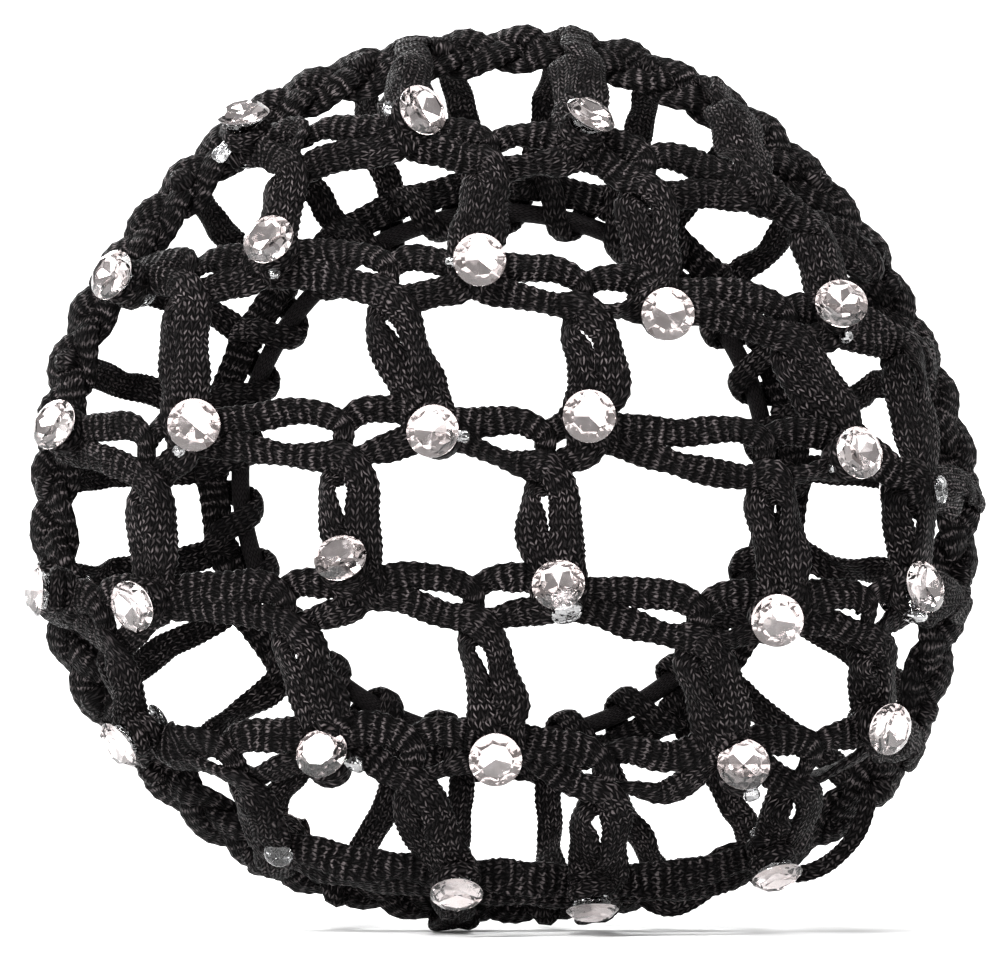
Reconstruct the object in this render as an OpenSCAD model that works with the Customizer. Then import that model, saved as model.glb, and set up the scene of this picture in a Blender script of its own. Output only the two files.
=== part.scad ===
/* [Net] */
// Half of the net's width at its widest line, to the middle of its tapes, in mm
half_w = 43; // [40:0.5:47]
// Depth of the front, from the widest line to the middle of the face
front_depth = 27; // [22:1:32]
// How much fuller the front is than an ellipse
front_fullness = 0.25; // [0:0.05:0.35]
// Depth of the back, from the widest line to the opening
back_depth = 20; // [17:1:24]
// Inner radius of the hem round the opening
hem_r = 27; // [25:0.5:30]
// Degrees by which a post hangs below the middle of its span, seen from inside the net
drop = 6; // [4:0.5:7]

/* [Tape] */
// Width of the upper strand of a span, and of the tapes of the back
tape_w = 2.8; // [2.4:0.1:3.2]
// Width of the lower strand of a span, which lies twisted half on its edge
low_w = 2; // [1.6:0.1:2.4]
// Thickness of the tape, folded in two
tape_t = 1.3; // [1:0.1:1.6]
// Thickness of the bunched tapes of the edge round
edge_t = 2.4; // [2:0.1:3]
// Width of a post, which is two tapes side by side
post_w = 4.4; // [3.6:0.1:5]
// Width of a knot under a stone
knot_d = 5.6; // [5:0.1:6.4]
// Thickness of a knot
knot_t = 2.6; // [2.2:0.1:3]
// Diameter of the elastic cord in the hem
elastic_d = 1.8; // [1.2:0.1:2.4]
// Number of tapes from the widest line to the hem
back_posts = 26; // [24:2:30]

/* [Stones] */
// Diameter of a stone
stone_d = 5; // [4:0.1:5.4]
// Diameter of a stone's table
table_d = 2.9; // [2:0.1:3.2]
// Height of the crown, above the girdle
crown_h = 0.9; // [0.6:0.1:1.2]
// Depth of the back, below the girdle
back_h = 1.2; // [1:0.1:1.3]
// Facets round the crown
facets = 8; // [8:1:10]

/* [Studs] */
// Diameter of the stem that goes through the knot
stem_d = 1.2; // [0.9:0.1:1.4]
// Diameter of the foot inside the net
foot_d = 2.8; // [2.2:0.1:3]
// Thickness of the foot, and of the floor of the cup
plate_t = 0.5; // [0.4:0.1:0.7]
// Gap between pieces that touch
gap = 0.15; // [0.12:0.01:0.2]

/* [Hidden] */
// How far the outline reaches at every 20 degrees from the right, as a share of half_w
OUTLINE = [
    1.02, 0.96, 0.95, 0.96, 0.965, 0.955, 0.97, 0.965, 0.995,
    1.01, 1.04, 1.02, 1.005, 0.985, 0.975, 1.035, 1.09, 1.045
];
OUTLINE_STEP = 20;

// Joints of each crochet row from left to right, seen from the front, in mm from the middle:
// [stone, across, up, stone across, stone up, lean across, lean up, 1 or -1 for a stone turned inwards]
ROW_A = [
    ["a1", -24.6, 31.7, -24.8, 34.4, -0.15, 0.92, 1],
    ["a2", -9.4, 32.1, -7.7, 34.6, 0.5, 0.35, 1],
    ["a3", 7, 31.2, 8.2, 34.1, 0.45, 0.78, 1],
    ["", 23.4, 27.6],
    ["", 36.2, 21.9]
];
ROW_B = [
    ["b1", -37.2, 18.8, -37.3, 19.1, -0.65, 0.35, 1],
    ["b2", -22.4, 20.3, -22.2, 22.3, -0.35, 0.45, 1],
    ["b3", -3.2, 19.4, -2.3, 20.3, 0.15, 0.1, 1],
    ["b4", 14.1, 17.4, 15.4, 15.2, 0.1, 0.05, 1],
    ["b5", 31, 15, 31.9, 16.3, 0.1, 0.45, 1],
    ["", 40.9, 12]
];
ROW_C = [
    ["c1", -41.4, 3.6, -42.8, 4.9, -0.6, 0.35, 1],
    ["c2", -29.8, 4.4, -29.2, 4.8, 0.1, 0.15, 1],
    ["c3", -7.3, 5.8, -6.7, 4.2, -0.2, 0.15, 1],
    ["c4", 8.4, 4.8, 8, 5.6, 0.05, 0.05, 1],
    ["c5", 32.9, 2.9, 33.5, 2.2, 0.5, 0.2, 1],
    ["c6", 39.1, -1.5, 40.1, -1.4, 0.9, 0.05, -1]
];
ROW_D = [
    ["d1", -41.6, -12, -44.5, -10.9, -0.97, 0, 1],
    ["d2", -32.7, -11, -35.1, -12.3, -0.6, -0.3, 1],
    ["d3", -13.5, -10.1, -15.4, -7.7, -0.2, 0.55, 1],
    ["d4", 5.3, -10.6, 5.1, -10.2, -0.1, 0.4, 1],
    ["d5", 26.7, -12, 25.7, -13.6, 0.2, -0.1, 1],
    ["d6", 38.6, -10.8, 39.9, -10.5, 0.7, 0.25, 1]
];
ROW_E = [
    ["e1", -35.1, -25.1, -36.6, -25.6, -0.75, -0.55, 1],
    ["e2", -16.3, -23.9, -17.2, -26.1, -0.3, 0.4, 1],
    ["e3", -0.4, -24.6, -0.8, -26.7, 0, -0.1, 1],
    ["e4", 20.9, -25.3, 22.6, -27.2, 0.1, 0.3, 1],
    ["e5", 35.6, -24, 36.6, -24, 0.6, -0.2, 1]
];
ROW_F = [
    ["f1", -21.8, -35.5, -21.3, -35.3, -0.1, -0.4, -1],
    ["f2", -4.7, -38.4, -4.5, -39.6, 0, -0.8, 1],
    ["f3", 8.4, -39.3, 8.4, -41.2, 0.05, -0.97, 1],
    ["f4", 25.3, -36.7, 26, -38.1, 0.25, -0.88, 1]
];

// [joints, share of each span at which its post hangs, joint of the next row under the first span]
ROWS = [
    [ROW_A, 0.42, 1],
    [ROW_B, 0.62, 1],
    [ROW_C, 0.68, 1],
    [ROW_D, 0.58, 0],
    [ROW_E, 0.48, 0],
    [ROW_F, 0.5, 0]
];

// Knots of the edge round: [degrees from the right, row, joint that it is tied to]
EDGE = [
    [16, 1, 5], [31, 0, 4], [62, 0, 3], [81, 0, 2], [102, 0, 1], [128, 0, 0],
    [153, 1, 0], [175, 2, 0], [196, 3, 0], [215, 4, 0], [239, 5, 0], [263, 5, 1],
    [282, 5, 2], [304, 5, 3], [326, 4, 4], [344, 3, 5], [358, 2, 5]
];

STONE_ROWS = [for (row = ROWS) for (joint = row[0]) if (joint[0] != "") joint];

// Where the widest line, the edge round and the hem lie, in degrees of reach from the middle of the face
WIDEST = 90;
EDGE_REACH = 94;
// How far back the edge round swings between two knots, in degrees of reach
EDGE_SWING = 2;
back_rate = front_depth * (1 + front_fullness) / back_depth;
hem_reach = WIDEST + 90 / back_rate;
hem_share = (hem_r + tape_w / 2) / half_w;
// The elastic lies inside the middle of the hem's straight steps
elastic_r = (hem_r + tape_w / 2) * cos(180 / back_posts) - tape_w / 2 - gap - elastic_d / 2;
// No front joint lies further out than this share of the outline
EDGE_SHARE = 0.985;

// Lifts off the form, in mm: posts lie over the spans, and the lower strands under them
POST_LIFT = 0.4;
LOWER_LIFT = -0.4;
// How far the tapes of the back slant, as a share of the step between two
SLANT_SHARE = 0.1;
// How far the upper strand arches up, and the lower strand's ends lie down, as shares of the drop
ARCH_SHARE = 0.12;
LOW_END_SHARE = 0.25;

// A stud's cup is this much wider than its foot, in mm to each side
CUP_FLARE = 0.5;
// The girdle of a stone stands this far from the middle of its knot
plate_z = knot_t / 2 + gap;
stone_lift = plate_z + plate_t + gap + back_h;
back_slope = back_h / (stone_d / 2);

// The tape's outline across its run: [share of half the width, share of half the thickness]
TAPE_SECTION = [[1, 1], [-1, 1], [-1, -1], [1, -1]];
// A tape that ends inside another is this much thinner than it
TIED_SHARE = 0.7;
tied_t = tape_t * TIED_SHARE;
KNOT_SIDES = 6;
// A knot's width under its stone, as a share of knot_d
SEAT_SHARE = 0.82;
BORE_SIDES = 6;
// How far the room for a stone and its stud reaches from the middle of the knot, either way
POCKET_DEPTH = 7;

function unit(v) = v / norm(v);
function turn_of(chart) = (atan2(chart[1], chart[0]) + 360) % 360;
function polar(turn, reach) = reach * [cos(turn), sin(turn)];

// A smooth curve through b and c, with a before them and d after them
function between(a, b, c, d, t) =
    0.5 * (2 * b + (c - a) * t + (2 * a - 5 * b + 4 * c - d) * t * t + (3 * b - a - 3 * c + d) * t * t * t);

// The outline's radius in a direction, in mm
function outline_at(turn) =
    let (n = len(OUTLINE), place = turn / OUTLINE_STEP, i = floor(place), t = place - i)
    half_w * between(
        OUTLINE[(i + n - 1) % n],
        OUTLINE[i % n],
        OUTLINE[(i + 1) % n],
        OUTLINE[(i + 2) % n],
        t
    );

// The chart lays the form flat: a point's distance from the chart's middle is its reach in degrees
function chart_of(across, up) =
    let (turn = turn_of([across, up]), share = norm([across, up]) / outline_at(turn))
    polar(turn, asin(min(share, EDGE_SHARE)));

// The point of the form that a point of the chart stands for
function form(chart) =
    let (
        reach = norm(chart),
        turn = turn_of(chart),
        back = max(0, reach - WIDEST) * back_rate,
        round_share = 1 - cos(back),
        radius = outline_at(turn) * (1 - round_share) + half_w * round_share,
        share = reach < WIDEST ? sin(reach) : hem_share + (1 - hem_share) * cos(back),
        deep = cos(reach) * (1 + front_fullness * pow(sin(reach), 2))
    )
    [
        radius * share * cos(turn),
        reach < WIDEST ? -back_depth - front_depth * deep : -back_depth * (1 - sin(back)),
        radius * share * sin(turn)
    ];

// The direction straight out of the form
function out_of(chart) =
    let (
        e = 0.4,
        across = form(chart + [e, 0]) - form(chart - [e, 0]),
        up = form(chart + [0, e]) - form(chart - [0, e])
    )
    unit(cross(across, up));

function joint_chart(row, i) = let (joint = ROWS[row][0][i]) chart_of(joint[1], joint[2]);
function hang_from(row, i) =
    let (a = joint_chart(row, i), b = joint_chart(row, i + 1))
    a + (b - a) * ROWS[row][1];
function joint_under(row, i) = joint_chart(row + 1, i + ROWS[row][2]);
function hang_way(row, i) = unit(joint_under(row, i) - hang_from(row, i));

// A stone's own axis, the way that its table looks
function stone_axis(joint) =
    let (x = joint[5], z = joint[6])
    joint[7] * [x, -sqrt(1 - x * x - z * z), z];

// The place in the chart where a stone's stud goes through the tape
function seat_chart(joint) =
    let (reached = joint[7] > 0 ? stone_lift : 0)
    chart_of(joint[3] - reached * joint[5], joint[4] - reached * joint[6]);

// Puts a thing at a point with its own up along a direction
module placed(at, up) {
    side = unit(cross(abs(up[2]) < 0.9 ? [0, 0, 1] : [1, 0, 0], up));
    over = cross(up, side);
    multmatrix([
        [side[0], over[0], up[0], at[0]],
        [side[1], over[1], up[1], at[1]],
        [side[2], over[2], up[2], at[2]],
        [0, 0, 0, 1]
    ]) children();
}

// A flat tape along a run of chart points, closed into a round or with two plain ends
module tape(points, width, thick, lift, closed = false) {
    n = len(points);
    sides = len(TAPE_SECTION);
    places = [for (p = points) form(p) + lift * out_of(p)];
    rings = [
        for (i = [0 : n - 1])
            let (
                before = closed ? (i + n - 1) % n : max(i - 1, 0),
                after = closed ? (i + 1) % n : min(i + 1, n - 1),
                along = unit(places[after] - places[before]),
                side = unit(cross(out_of(points[i]), along)),
                over = cross(along, side)
            )
            [for (q = TAPE_SECTION) places[i] + side * q[0] * width / 2 + over * q[1] * thick / 2]
    ];
    walls = [
        for (i = [0 : n - (closed ? 1 : 2)])
            for (j = [0 : sides - 1])
                let (a = i * sides, b = ((i + 1) % n) * sides, k = (j + 1) % sides)
                each [[a + j, b + j, b + k], [a + j, b + k, a + k]]
    ];
    ends = closed ? [] : [
        [for (j = [0 : sides - 1]) j],
        [for (j = [sides - 1 : -1 : 0]) (n - 1) * sides + j]
    ];
    polyhedron([for (ring = rings) each ring], concat(walls, ends));
}

// One flat lump of a knot
module lump(at, up, width) {
    placed(at, up)
        cylinder(h = knot_t, d = width, center = true, $fn = KNOT_SIDES);
}

// The knot of a joint, which runs on to the stone's stud where there is one
module knot(joint) {
    middle = chart_of(joint[1], joint[2]);
    hull() {
        lump(form(middle), out_of(middle), knot_d);
        if (joint[0] != "")
            lump(form(seat_chart(joint)), stone_axis(joint), knot_d * SEAT_SHARE);
    }
}

// The upper strand of a row, one tape through all its joints
module upper_strand(row) {
    last = len(ROWS[row][0]) - 1;
    points = [
        for (i = [0 : last])
            each i < last && row < len(ROWS) - 1
                ? [joint_chart(row, i), hang_from(row, i) - hang_way(row, i) * drop * ARCH_SHARE]
                : [joint_chart(row, i)]
    ];
    tape(points, tape_w, tape_t, 0);
}

// The lower strand of a span, which the post draws down to a point, and the post itself
module lower_strand(row, i) {
    way = hang_way(row, i);
    top = hang_from(row, i) - way * drop * ARCH_SHARE;
    clasp = hang_from(row, i) + way * drop;
    low = way * drop * LOW_END_SHARE;
    tape([joint_chart(row, i) + low, clasp, joint_chart(row, i + 1) + low], low_w, tape_t, LOWER_LIFT);
    tape([top, clasp, joint_under(row, i)], post_w, tape_t, POST_LIFT);
}

// The round along the widest line, tied to the ends of the rows
module edge_round() {
    n = len(EDGE);
    points = [
        for (k = [0 : n - 1])
            let (a = EDGE[k][0], b = EDGE[(k + 1) % n][0] + (k == n - 1 ? 360 : 0))
            each [polar(a, EDGE_REACH), polar((a + b) / 2, EDGE_REACH + EDGE_SWING)]
    ];
    tape(points, tape_w, edge_t, 0, closed = true);
    for (tie = EDGE)
        tape([polar(tie[0], EDGE_REACH), joint_chart(tie[1], tie[2])], post_w, tied_t, 0);
}

// The tapes of the back, each slanted the other way than the last, and the hem that gathers them
module back() {
    step = 360 / back_posts;
    slant = step * SLANT_SHARE;
    for (k = [0 : back_posts - 1]) {
        way = k % 2 == 0 ? slant : -slant;
        start = polar(k * step - way, EDGE_REACH);
        middle = polar(k * step, (EDGE_REACH + hem_reach) / 2);
        tape([start, middle, polar(k * step + way, hem_reach)], tape_w, tied_t, 0);
    }
    tape([for (k = [0 : back_posts - 1]) polar(k * step, hem_reach)], tape_w, tape_t, 0, closed = true);
}

// A prism round the axis that leaves a round thing of this radius free
module room(radius, low, high) {
    translate([0, 0, low])
        cylinder(h = high - low, r = radius / cos(180 / BORE_SIDES), $fn = BORE_SIDES);
}

// The room that a stone and its stud need in the net: a bore, and free space above and below the knot
module pocket(joint) {
    clear = knot_t / 2 + gap / 2;
    placed(form(seat_chart(joint)), stone_axis(joint)) {
        room(stem_d / 2 + gap, -POCKET_DEPTH, POCKET_DEPTH);
        room(stone_d / 2 + gap, clear, POCKET_DEPTH);
        room(foot_d / 2 + gap, -POCKET_DEPTH, -clear);
    }
}

// The whole crocheted net, one piece
module net() {
    color("#1b1b1f")
        difference() {
            union() {
                for (row = [0 : len(ROWS) - 1]) {
                    upper_strand(row);
                    for (joint = ROWS[row][0])
                        knot(joint);
                }
                for (row = [0 : len(ROWS) - 2])
                    for (i = [0 : len(ROWS[row][0]) - 2])
                        lower_strand(row, i);
                edge_round();
                back();
            }
            for (joint = STONE_ROWS)
                pocket(joint);
        }
}

// The elastic cord that draws the hem in
module elastic() {
    color("#101012")
        rotate([90, 0, 0])
            rotate_extrude($fn = 96)
                translate([elastic_r, 0])
                    circle(d = elastic_d, $fn = 24);
}

// A clear stud: a foot inside the net, a stem through the knot and a cup that holds the stone
module stud() {
    cup_r = foot_d / 2 + CUP_FLARE;
    rotate_extrude($fn = 32)
        polygon([
            [0, -plate_z - plate_t],
            [foot_d / 2, -plate_z - plate_t],
            [foot_d / 2, -plate_z],
            [stem_d / 2, -plate_z],
            [stem_d / 2, plate_z],
            [foot_d / 2, plate_z],
            [cup_r, plate_z + plate_t + cup_r * back_slope],
            [0, plate_z + plate_t]
        ]);
}

// All the studs
module studs() {
    color("#dfe7ea")
        for (joint = STONE_ROWS)
            placed(form(seat_chart(joint)), stone_axis(joint))
                stud();
}

// A round stone with its girdle in the plane of the origin: a flat table, a facetted crown and a shallow back
module stone_shape() {
    around = 2 * facets;
    point = facets + around;
    polyhedron(
        concat(
            [for (k = [0 : facets - 1]) concat(polar(k * 360 / facets, table_d / 2), crown_h)],
            [for (k = [0 : around - 1]) concat(polar(k * 360 / around, stone_d / 2), 0)],
            [[0, 0, -back_h]]
        ),
        concat(
            [[for (k = [facets - 1 : -1 : 0]) k]],
            [
                for (k = [0 : facets - 1])
                    let (next = (k + 1) % facets, g = facets + 2 * k, h = facets + (2 * k + 2) % around)
                    each [[k, g + 1, g], [k, next, g + 1], [next, h, g + 1]]
            ],
            [for (k = [0 : around - 1]) [facets + k, facets + (k + 1) % around, point]]
        )
    );
}

// A stone in its place
module stone(joint) {
    axis = stone_axis(joint);
    color("#e9edf2")
        placed(form(seat_chart(joint)) + stone_lift * axis, axis)
            stone_shape();
}

net();
elastic();
studs();
for (joint = STONE_ROWS)
    stone(joint);
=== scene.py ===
"""A round net crocheted from flat knitted tape and set with clear faceted stones, seen from its front."""

import logging
import math
import random
from collections.abc import Iterable
from dataclasses import dataclass, field
from enum import Enum

import bmesh
import bpy
from bmesh.types import BMEdge, BMesh, BMVert
from bpy.types import ID, Material, Mesh, Node, NodeSocket, NodeTree, Object, ShaderNodeTree
from mathutils import Matrix, Vector, noise
from mathutils.kdtree import KDTree


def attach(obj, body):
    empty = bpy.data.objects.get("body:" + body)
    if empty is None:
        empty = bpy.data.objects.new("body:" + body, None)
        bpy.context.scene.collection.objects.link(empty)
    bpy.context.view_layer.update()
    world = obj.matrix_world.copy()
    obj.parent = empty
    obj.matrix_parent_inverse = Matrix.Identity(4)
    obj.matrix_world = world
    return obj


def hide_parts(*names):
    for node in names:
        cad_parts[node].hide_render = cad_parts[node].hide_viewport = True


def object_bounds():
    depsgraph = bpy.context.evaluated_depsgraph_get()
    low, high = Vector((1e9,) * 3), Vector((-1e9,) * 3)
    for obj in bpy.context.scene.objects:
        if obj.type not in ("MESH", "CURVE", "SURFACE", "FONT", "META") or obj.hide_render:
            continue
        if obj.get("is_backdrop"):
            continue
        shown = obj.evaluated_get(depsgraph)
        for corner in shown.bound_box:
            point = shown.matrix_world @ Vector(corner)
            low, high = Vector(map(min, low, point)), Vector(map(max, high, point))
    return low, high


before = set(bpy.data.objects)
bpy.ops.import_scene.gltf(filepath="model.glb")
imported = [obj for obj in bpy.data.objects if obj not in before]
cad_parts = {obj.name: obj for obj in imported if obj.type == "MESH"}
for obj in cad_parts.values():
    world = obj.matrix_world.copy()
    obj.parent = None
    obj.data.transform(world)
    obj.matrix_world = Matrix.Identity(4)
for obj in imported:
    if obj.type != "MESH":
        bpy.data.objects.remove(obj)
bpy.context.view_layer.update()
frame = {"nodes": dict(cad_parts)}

log = logging.getLogger("hairnet")
MM = 0.001
BODY = "root"
CIRCLE = 2 * math.pi
DOWN = Vector((0, -1))
ROW_SEED, EDGE_SEED, BACK_SEED = 31, 5, 9
SEED_RANGE = 40

# The middle of the elastic's ring in the CAD, in mm
ELASTIC_RADIUS = 25.74

Value = NodeSocket | float
Colour = tuple[float, float, float, float]
Point = tuple[float, float, float]
Move = tuple[Vector, float]


class Hold(Enum):
    """How a run of tape is held, which sets how its stitches lie."""

    FLAT = (0.15, 0.10)
    GATHERED = (1.0, 0.16)
    ROLLED = (0.3, 0.42)

    @property
    def gather(self) -> float:
        """How strongly the stitches are drawn together into ribs."""
        return self.value[0]

    @property
    def curl(self) -> float:
        """How far the two edges of the tape curl back, as a share of its width."""
        return self.value[1]


# The tables of the crochet


@dataclass(frozen=True)
class Joint:
    """One joint of the crochet, in mm from the middle, seen from the front."""

    name: str
    across: float
    up: float
    stone_across: float = 0.0
    stone_up: float = 0.0
    lean_across: float = 0.0
    lean_up: float = 0.0
    way: int = 1

    @property
    def axis(self) -> Vector:
        """The way that the table of this joint's stone looks."""
        deep = math.sqrt(1 - self.lean_across**2 - self.lean_up**2)
        return self.way * Vector((self.lean_across, -deep, self.lean_up))


@dataclass(frozen=True)
class Span:
    """One span of a row: the clasp under it and how its tape lies, in mm.

    The width is a share. The rises are of the upper strand and the sags of the lower one, left and right of
    the clasp. The dip is how far the upper strand hangs at the clasp, and the bow is how far the post lies to
    the right of a straight line.
    """

    across: float
    up: float
    width: float = 1.0
    rise: float = 0.6
    right_rise: float = 0.6
    sag: float = 0.0
    right_sag: float = 0.0
    dip: float = 0.0
    bow: float = 0.0


@dataclass(frozen=True)
class Row:
    """One row of joints, with its spans and the joint of the next row under the first of them."""

    letter: str
    joints: tuple[Joint, ...]
    spans: tuple[Span, ...] = ()
    under: int = 0


ROWS = (
    Row(
        "a",
        (
            Joint("a1", -24.6, 31.7, -24.8, 34.4, -0.15, 0.92),
            Joint("a2", -9.4, 32.1, -7.7, 34.6, 0.5, 0.35),
            Joint("a3", 7, 31.2, 8.2, 34.1, 0.45, 0.78),
            Joint("", 23.4, 27.6),
            Joint("", 36.2, 21.9),
        ),
        (Span(-20.5, 29.1), Span(-1.6, 29.1), Span(13.2, 27.0, 1.1), Span(29.3, 23.2, 1.15)),
        1,
    ),
    Row(
        "b",
        (
            Joint("b1", -37.2, 18.8, -37.3, 19.1, -0.65, 0.35),
            Joint("b2", -22.4, 20.3, -22.2, 22.3, -0.35, 0.45),
            Joint("b3", -3.2, 19.4, -2.3, 20.3, 0.15, 0.1),
            Joint("b4", 14.1, 17.4, 15.4, 15.2, 0.1, 0.05),
            Joint("b5", 31, 15, 31.9, 16.3, 0.1, 0.45),
            Joint("", 40.9, 12),
        ),
        (
            Span(-30.3, 17.7, 1.1),
            Span(-11.3, 16.7, 1.05),
            Span(7.2, 15.3, sag=1.0, bow=0.8),
            Span(26.7, 12.4, 1.1),
            Span(37.8, 12.0, 1.2),
        ),
        1,
    ),
    Row(
        "c",
        (
            Joint("c1", -41.4, 3.6, -42.8, 4.9, -0.6, 0.35),
            Joint("c2", -29.8, 4.4, -29.2, 4.8, 0.1, 0.15),
            Joint("c3", -7.3, 5.8, -6.7, 4.2, -0.2, 0.15),
            Joint("c4", 8.4, 4.8, 8, 5.6, 0.05, 0.05),
            Joint("c5", 32.9, 2.9, 33.5, 2.2, 0.5, 0.2),
            Joint("c6", 39.1, -1.5, 40.1, -1.4, 0.9, 0.05, -1),
        ),
        (
            Span(-33.6, -0.6),
            Span(-15.1, 1.3, sag=0.7),
            Span(3.9, 0.4, rise=-0.4, sag=0.8, dip=0.6, bow=-0.5),
            Span(24.8, -0.2, rise=-0.3, sag=1.6),
            Span(38.1, -0.4),
        ),
        1,
    ),
    Row(
        "d",
        (
            Joint("d1", -41.6, -12, -44.5, -10.9, -0.97, 0),
            Joint("d2", -32.7, -11, -35.1, -12.3, -0.6, -0.3),
            Joint("d3", -13.5, -10.1, -15.4, -7.7, -0.2, 0.55),
            Joint("d4", 5.3, -10.6, 5.1, -10.2, -0.1, 0.4),
            Joint("d5", 26.7, -12, 25.7, -13.6, 0.2, -0.1),
            Joint("d6", 38.6, -10.8, 39.9, -10.5, 0.7, 0.25),
        ),
        (
            Span(-37.0, -16.1, 1.2),
            Span(-20.3, -14.2, 1.15),
            Span(-2.8, -13.9, bow=0.4),
            Span(18.1, -15.6, 1.05, sag=0.6),
            Span(34.3, -15.6, 1.15),
        ),
    ),
    Row(
        "e",
        (
            Joint("e1", -35.1, -25.1, -36.6, -25.6, -0.75, -0.55),
            Joint("e2", -16.3, -23.9, -17.2, -26.1, -0.3, 0.4),
            Joint("e3", -0.4, -24.6, -0.8, -26.7, 0, -0.1),
            Joint("e4", 20.9, -25.3, 22.6, -27.2, 0.1, 0.3),
            Joint("e5", 35.6, -24, 36.6, -24, 0.6, -0.2),
        ),
        (
            Span(-24.6, -28.7, 1.25),
            Span(-8.7, -28.7, 1.15),
            Span(9.1, -29.8, 1.15, rise=-0.4, right_rise=-0.9, sag=0.6, right_sag=2.4, dip=1.8),
            Span(27.6, -29.4, 1.1),
        ),
    ),
    Row(
        "f",
        (
            Joint("f1", -21.8, -35.5, -21.3, -35.3, -0.1, -0.4, -1),
            Joint("f2", -4.7, -38.4, -4.5, -39.6, 0, -0.8),
            Joint("f3", 8.4, -39.3, 8.4, -41.2, 0.05, -0.97),
            Joint("f4", 25.3, -36.7, 26, -38.1, 0.25, -0.88),
        ),
    ),
)
STONE_JOINTS = tuple(joint for row in ROWS for joint in row.joints if joint.name)

# Knots of the edge round: degrees from the right, row, joint that it is tied to
EDGE = (
    (16, 1, 5),
    (31, 0, 4),
    (62, 0, 3),
    (81, 0, 2),
    (102, 0, 1),
    (128, 0, 0),
    (153, 1, 0),
    (175, 2, 0),
    (196, 3, 0),
    (215, 4, 0),
    (239, 5, 0),
    (263, 5, 1),
    (282, 5, 2),
    (304, 5, 3),
    (326, 4, 4),
    (344, 3, 5),
    (358, 2, 5),
)

# Slack tapes of the edge round: first turn, last turn, both in degrees from the right, mm out of the form
SLACK = ((287, 299, 1.4), (302, 320, 2.7))


# The form


@dataclass(frozen=True)
class WornForm:
    """The round form that the worn net keeps. Lengths are in mm.

    The chart lays it flat: a point's distance from the chart's middle is its reach in degrees, and 90 is the
    widest line.
    """

    half_width: float = 43.0
    front_depth: float = 27.0
    fullness: float = 0.25
    back_depth: float = 20.0
    hem_radius: float = 28.4
    edge_share: float = 0.985
    mm_per_degree: float = 0.7
    probe: float = 0.4
    outline: tuple[float, ...] = (
        1.02, 0.96, 0.95, 0.96, 0.965, 0.955, 0.97, 0.965, 0.995,
        1.01, 1.04, 1.02, 1.005, 0.985, 0.975, 1.035, 1.09, 1.045,
    )  # fmt: skip

    @property
    def back_rate(self) -> float:
        """Degrees of the back's arc for each degree of reach."""
        return self.front_depth * (1 + self.fullness) / self.back_depth

    @property
    def hem_reach(self) -> float:
        """The reach of the hem."""
        return 90 + 90 / self.back_rate

    def outline_at(self, turn: float) -> float:
        """The outline's radius in a direction.

        Args:
            turn: degrees from the right, counter-clockwise.

        Returns:
            The radius in mm.
        """
        count = len(self.outline)
        place = (turn % 360) * count / 360
        i = int(place)
        t = place - i
        a, b, c, d = (self.outline[(i + k) % count] for k in (-1, 0, 1, 2))
        curve = 2 * b + (c - a) * t + (2 * a - 5 * b + 4 * c - d) * t**2 + (3 * b - a - 3 * c + d) * t**3
        return self.half_width * curve / 2

    def point(self, chart: Vector) -> Vector:
        """The point of the form that a point of the chart stands for.

        Args:
            chart: across and up, in degrees of reach.

        Returns:
            The point in mm.
        """
        reach = chart.length
        turn = math.atan2(chart.y, chart.x)
        back = math.radians(max(0.0, reach - 90) * self.back_rate)
        round_share = 1 - math.cos(back)
        radius = self.outline_at(math.degrees(turn)) * (1 - round_share) + self.half_width * round_share
        if reach < 90:
            share = math.sin(math.radians(reach))
            deep = math.cos(math.radians(reach)) * (1 + self.fullness * share**2)
            y = -self.back_depth - self.front_depth * deep
        else:
            hem_share = self.hem_radius / self.half_width
            share = hem_share + (1 - hem_share) * math.cos(back)
            y = -self.back_depth * (1 - math.sin(back))
        return Vector((radius * share * math.cos(turn), y, radius * share * math.sin(turn)))

    def along(self, chart: Vector, way: Vector) -> Vector:
        """The direction on the form that a direction in the chart stands for."""
        step = way.normalized() * self.probe
        return (self.point(chart + step) - self.point(chart - step)).normalized()

    def outward(self, chart: Vector) -> Vector:
        """The direction straight out of the form."""
        return self.along(chart, Vector((1, 0))).cross(self.along(chart, Vector((0, 1)))).normalized()

    def chart_of(self, across: float, up: float) -> Vector:
        """The chart's point for a place seen from the front.

        Args:
            across: mm to the right of the middle.
            up: mm above the middle.

        Returns:
            The point of the chart, never past the widest line.
        """
        turn = math.atan2(up, across)
        share = math.hypot(across, up) / self.outline_at(math.degrees(turn))
        reach = math.degrees(math.asin(min(share, self.edge_share)))
        return Vector((reach * math.cos(turn), reach * math.sin(turn)))

    def polar(self, turn: float, reach: float) -> Vector:
        """The chart's point at a turn and a reach, both in degrees."""
        return reach * Vector((math.cos(math.radians(turn)), math.sin(math.radians(turn))))

    def shift(self, chart: Vector, *moves: Move) -> Vector:
        """The chart's point that lies some way off along the form.

        Args:
            chart: where the moves start.
            moves: a direction in the chart and a number of mm for each.

        Returns:
            The point after all the moves.
        """
        for way, far in moves:
            chart = chart + way.normalized() * far / self.mm_per_degree
        return chart


FORM = WornForm()


def across_of(way: Vector) -> Vector:
    """The chart's direction a quarter turn to the right of a way."""
    return Vector((way.y, -way.x)).normalized()


def joint_chart(joint: Joint) -> Vector:
    """A joint's place in the chart."""
    return FORM.chart_of(joint.across, joint.up)


def seat_of(joint: Joint) -> Vector:
    """The place in the chart where the stud of a joint's stone goes through the tape."""
    reached = Stud.lift if joint.way > 0 else 0.0
    across = joint.stone_across - reached * joint.lean_across
    return FORM.chart_of(across, joint.stone_up - reached * joint.lean_up)


# The tape


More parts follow.
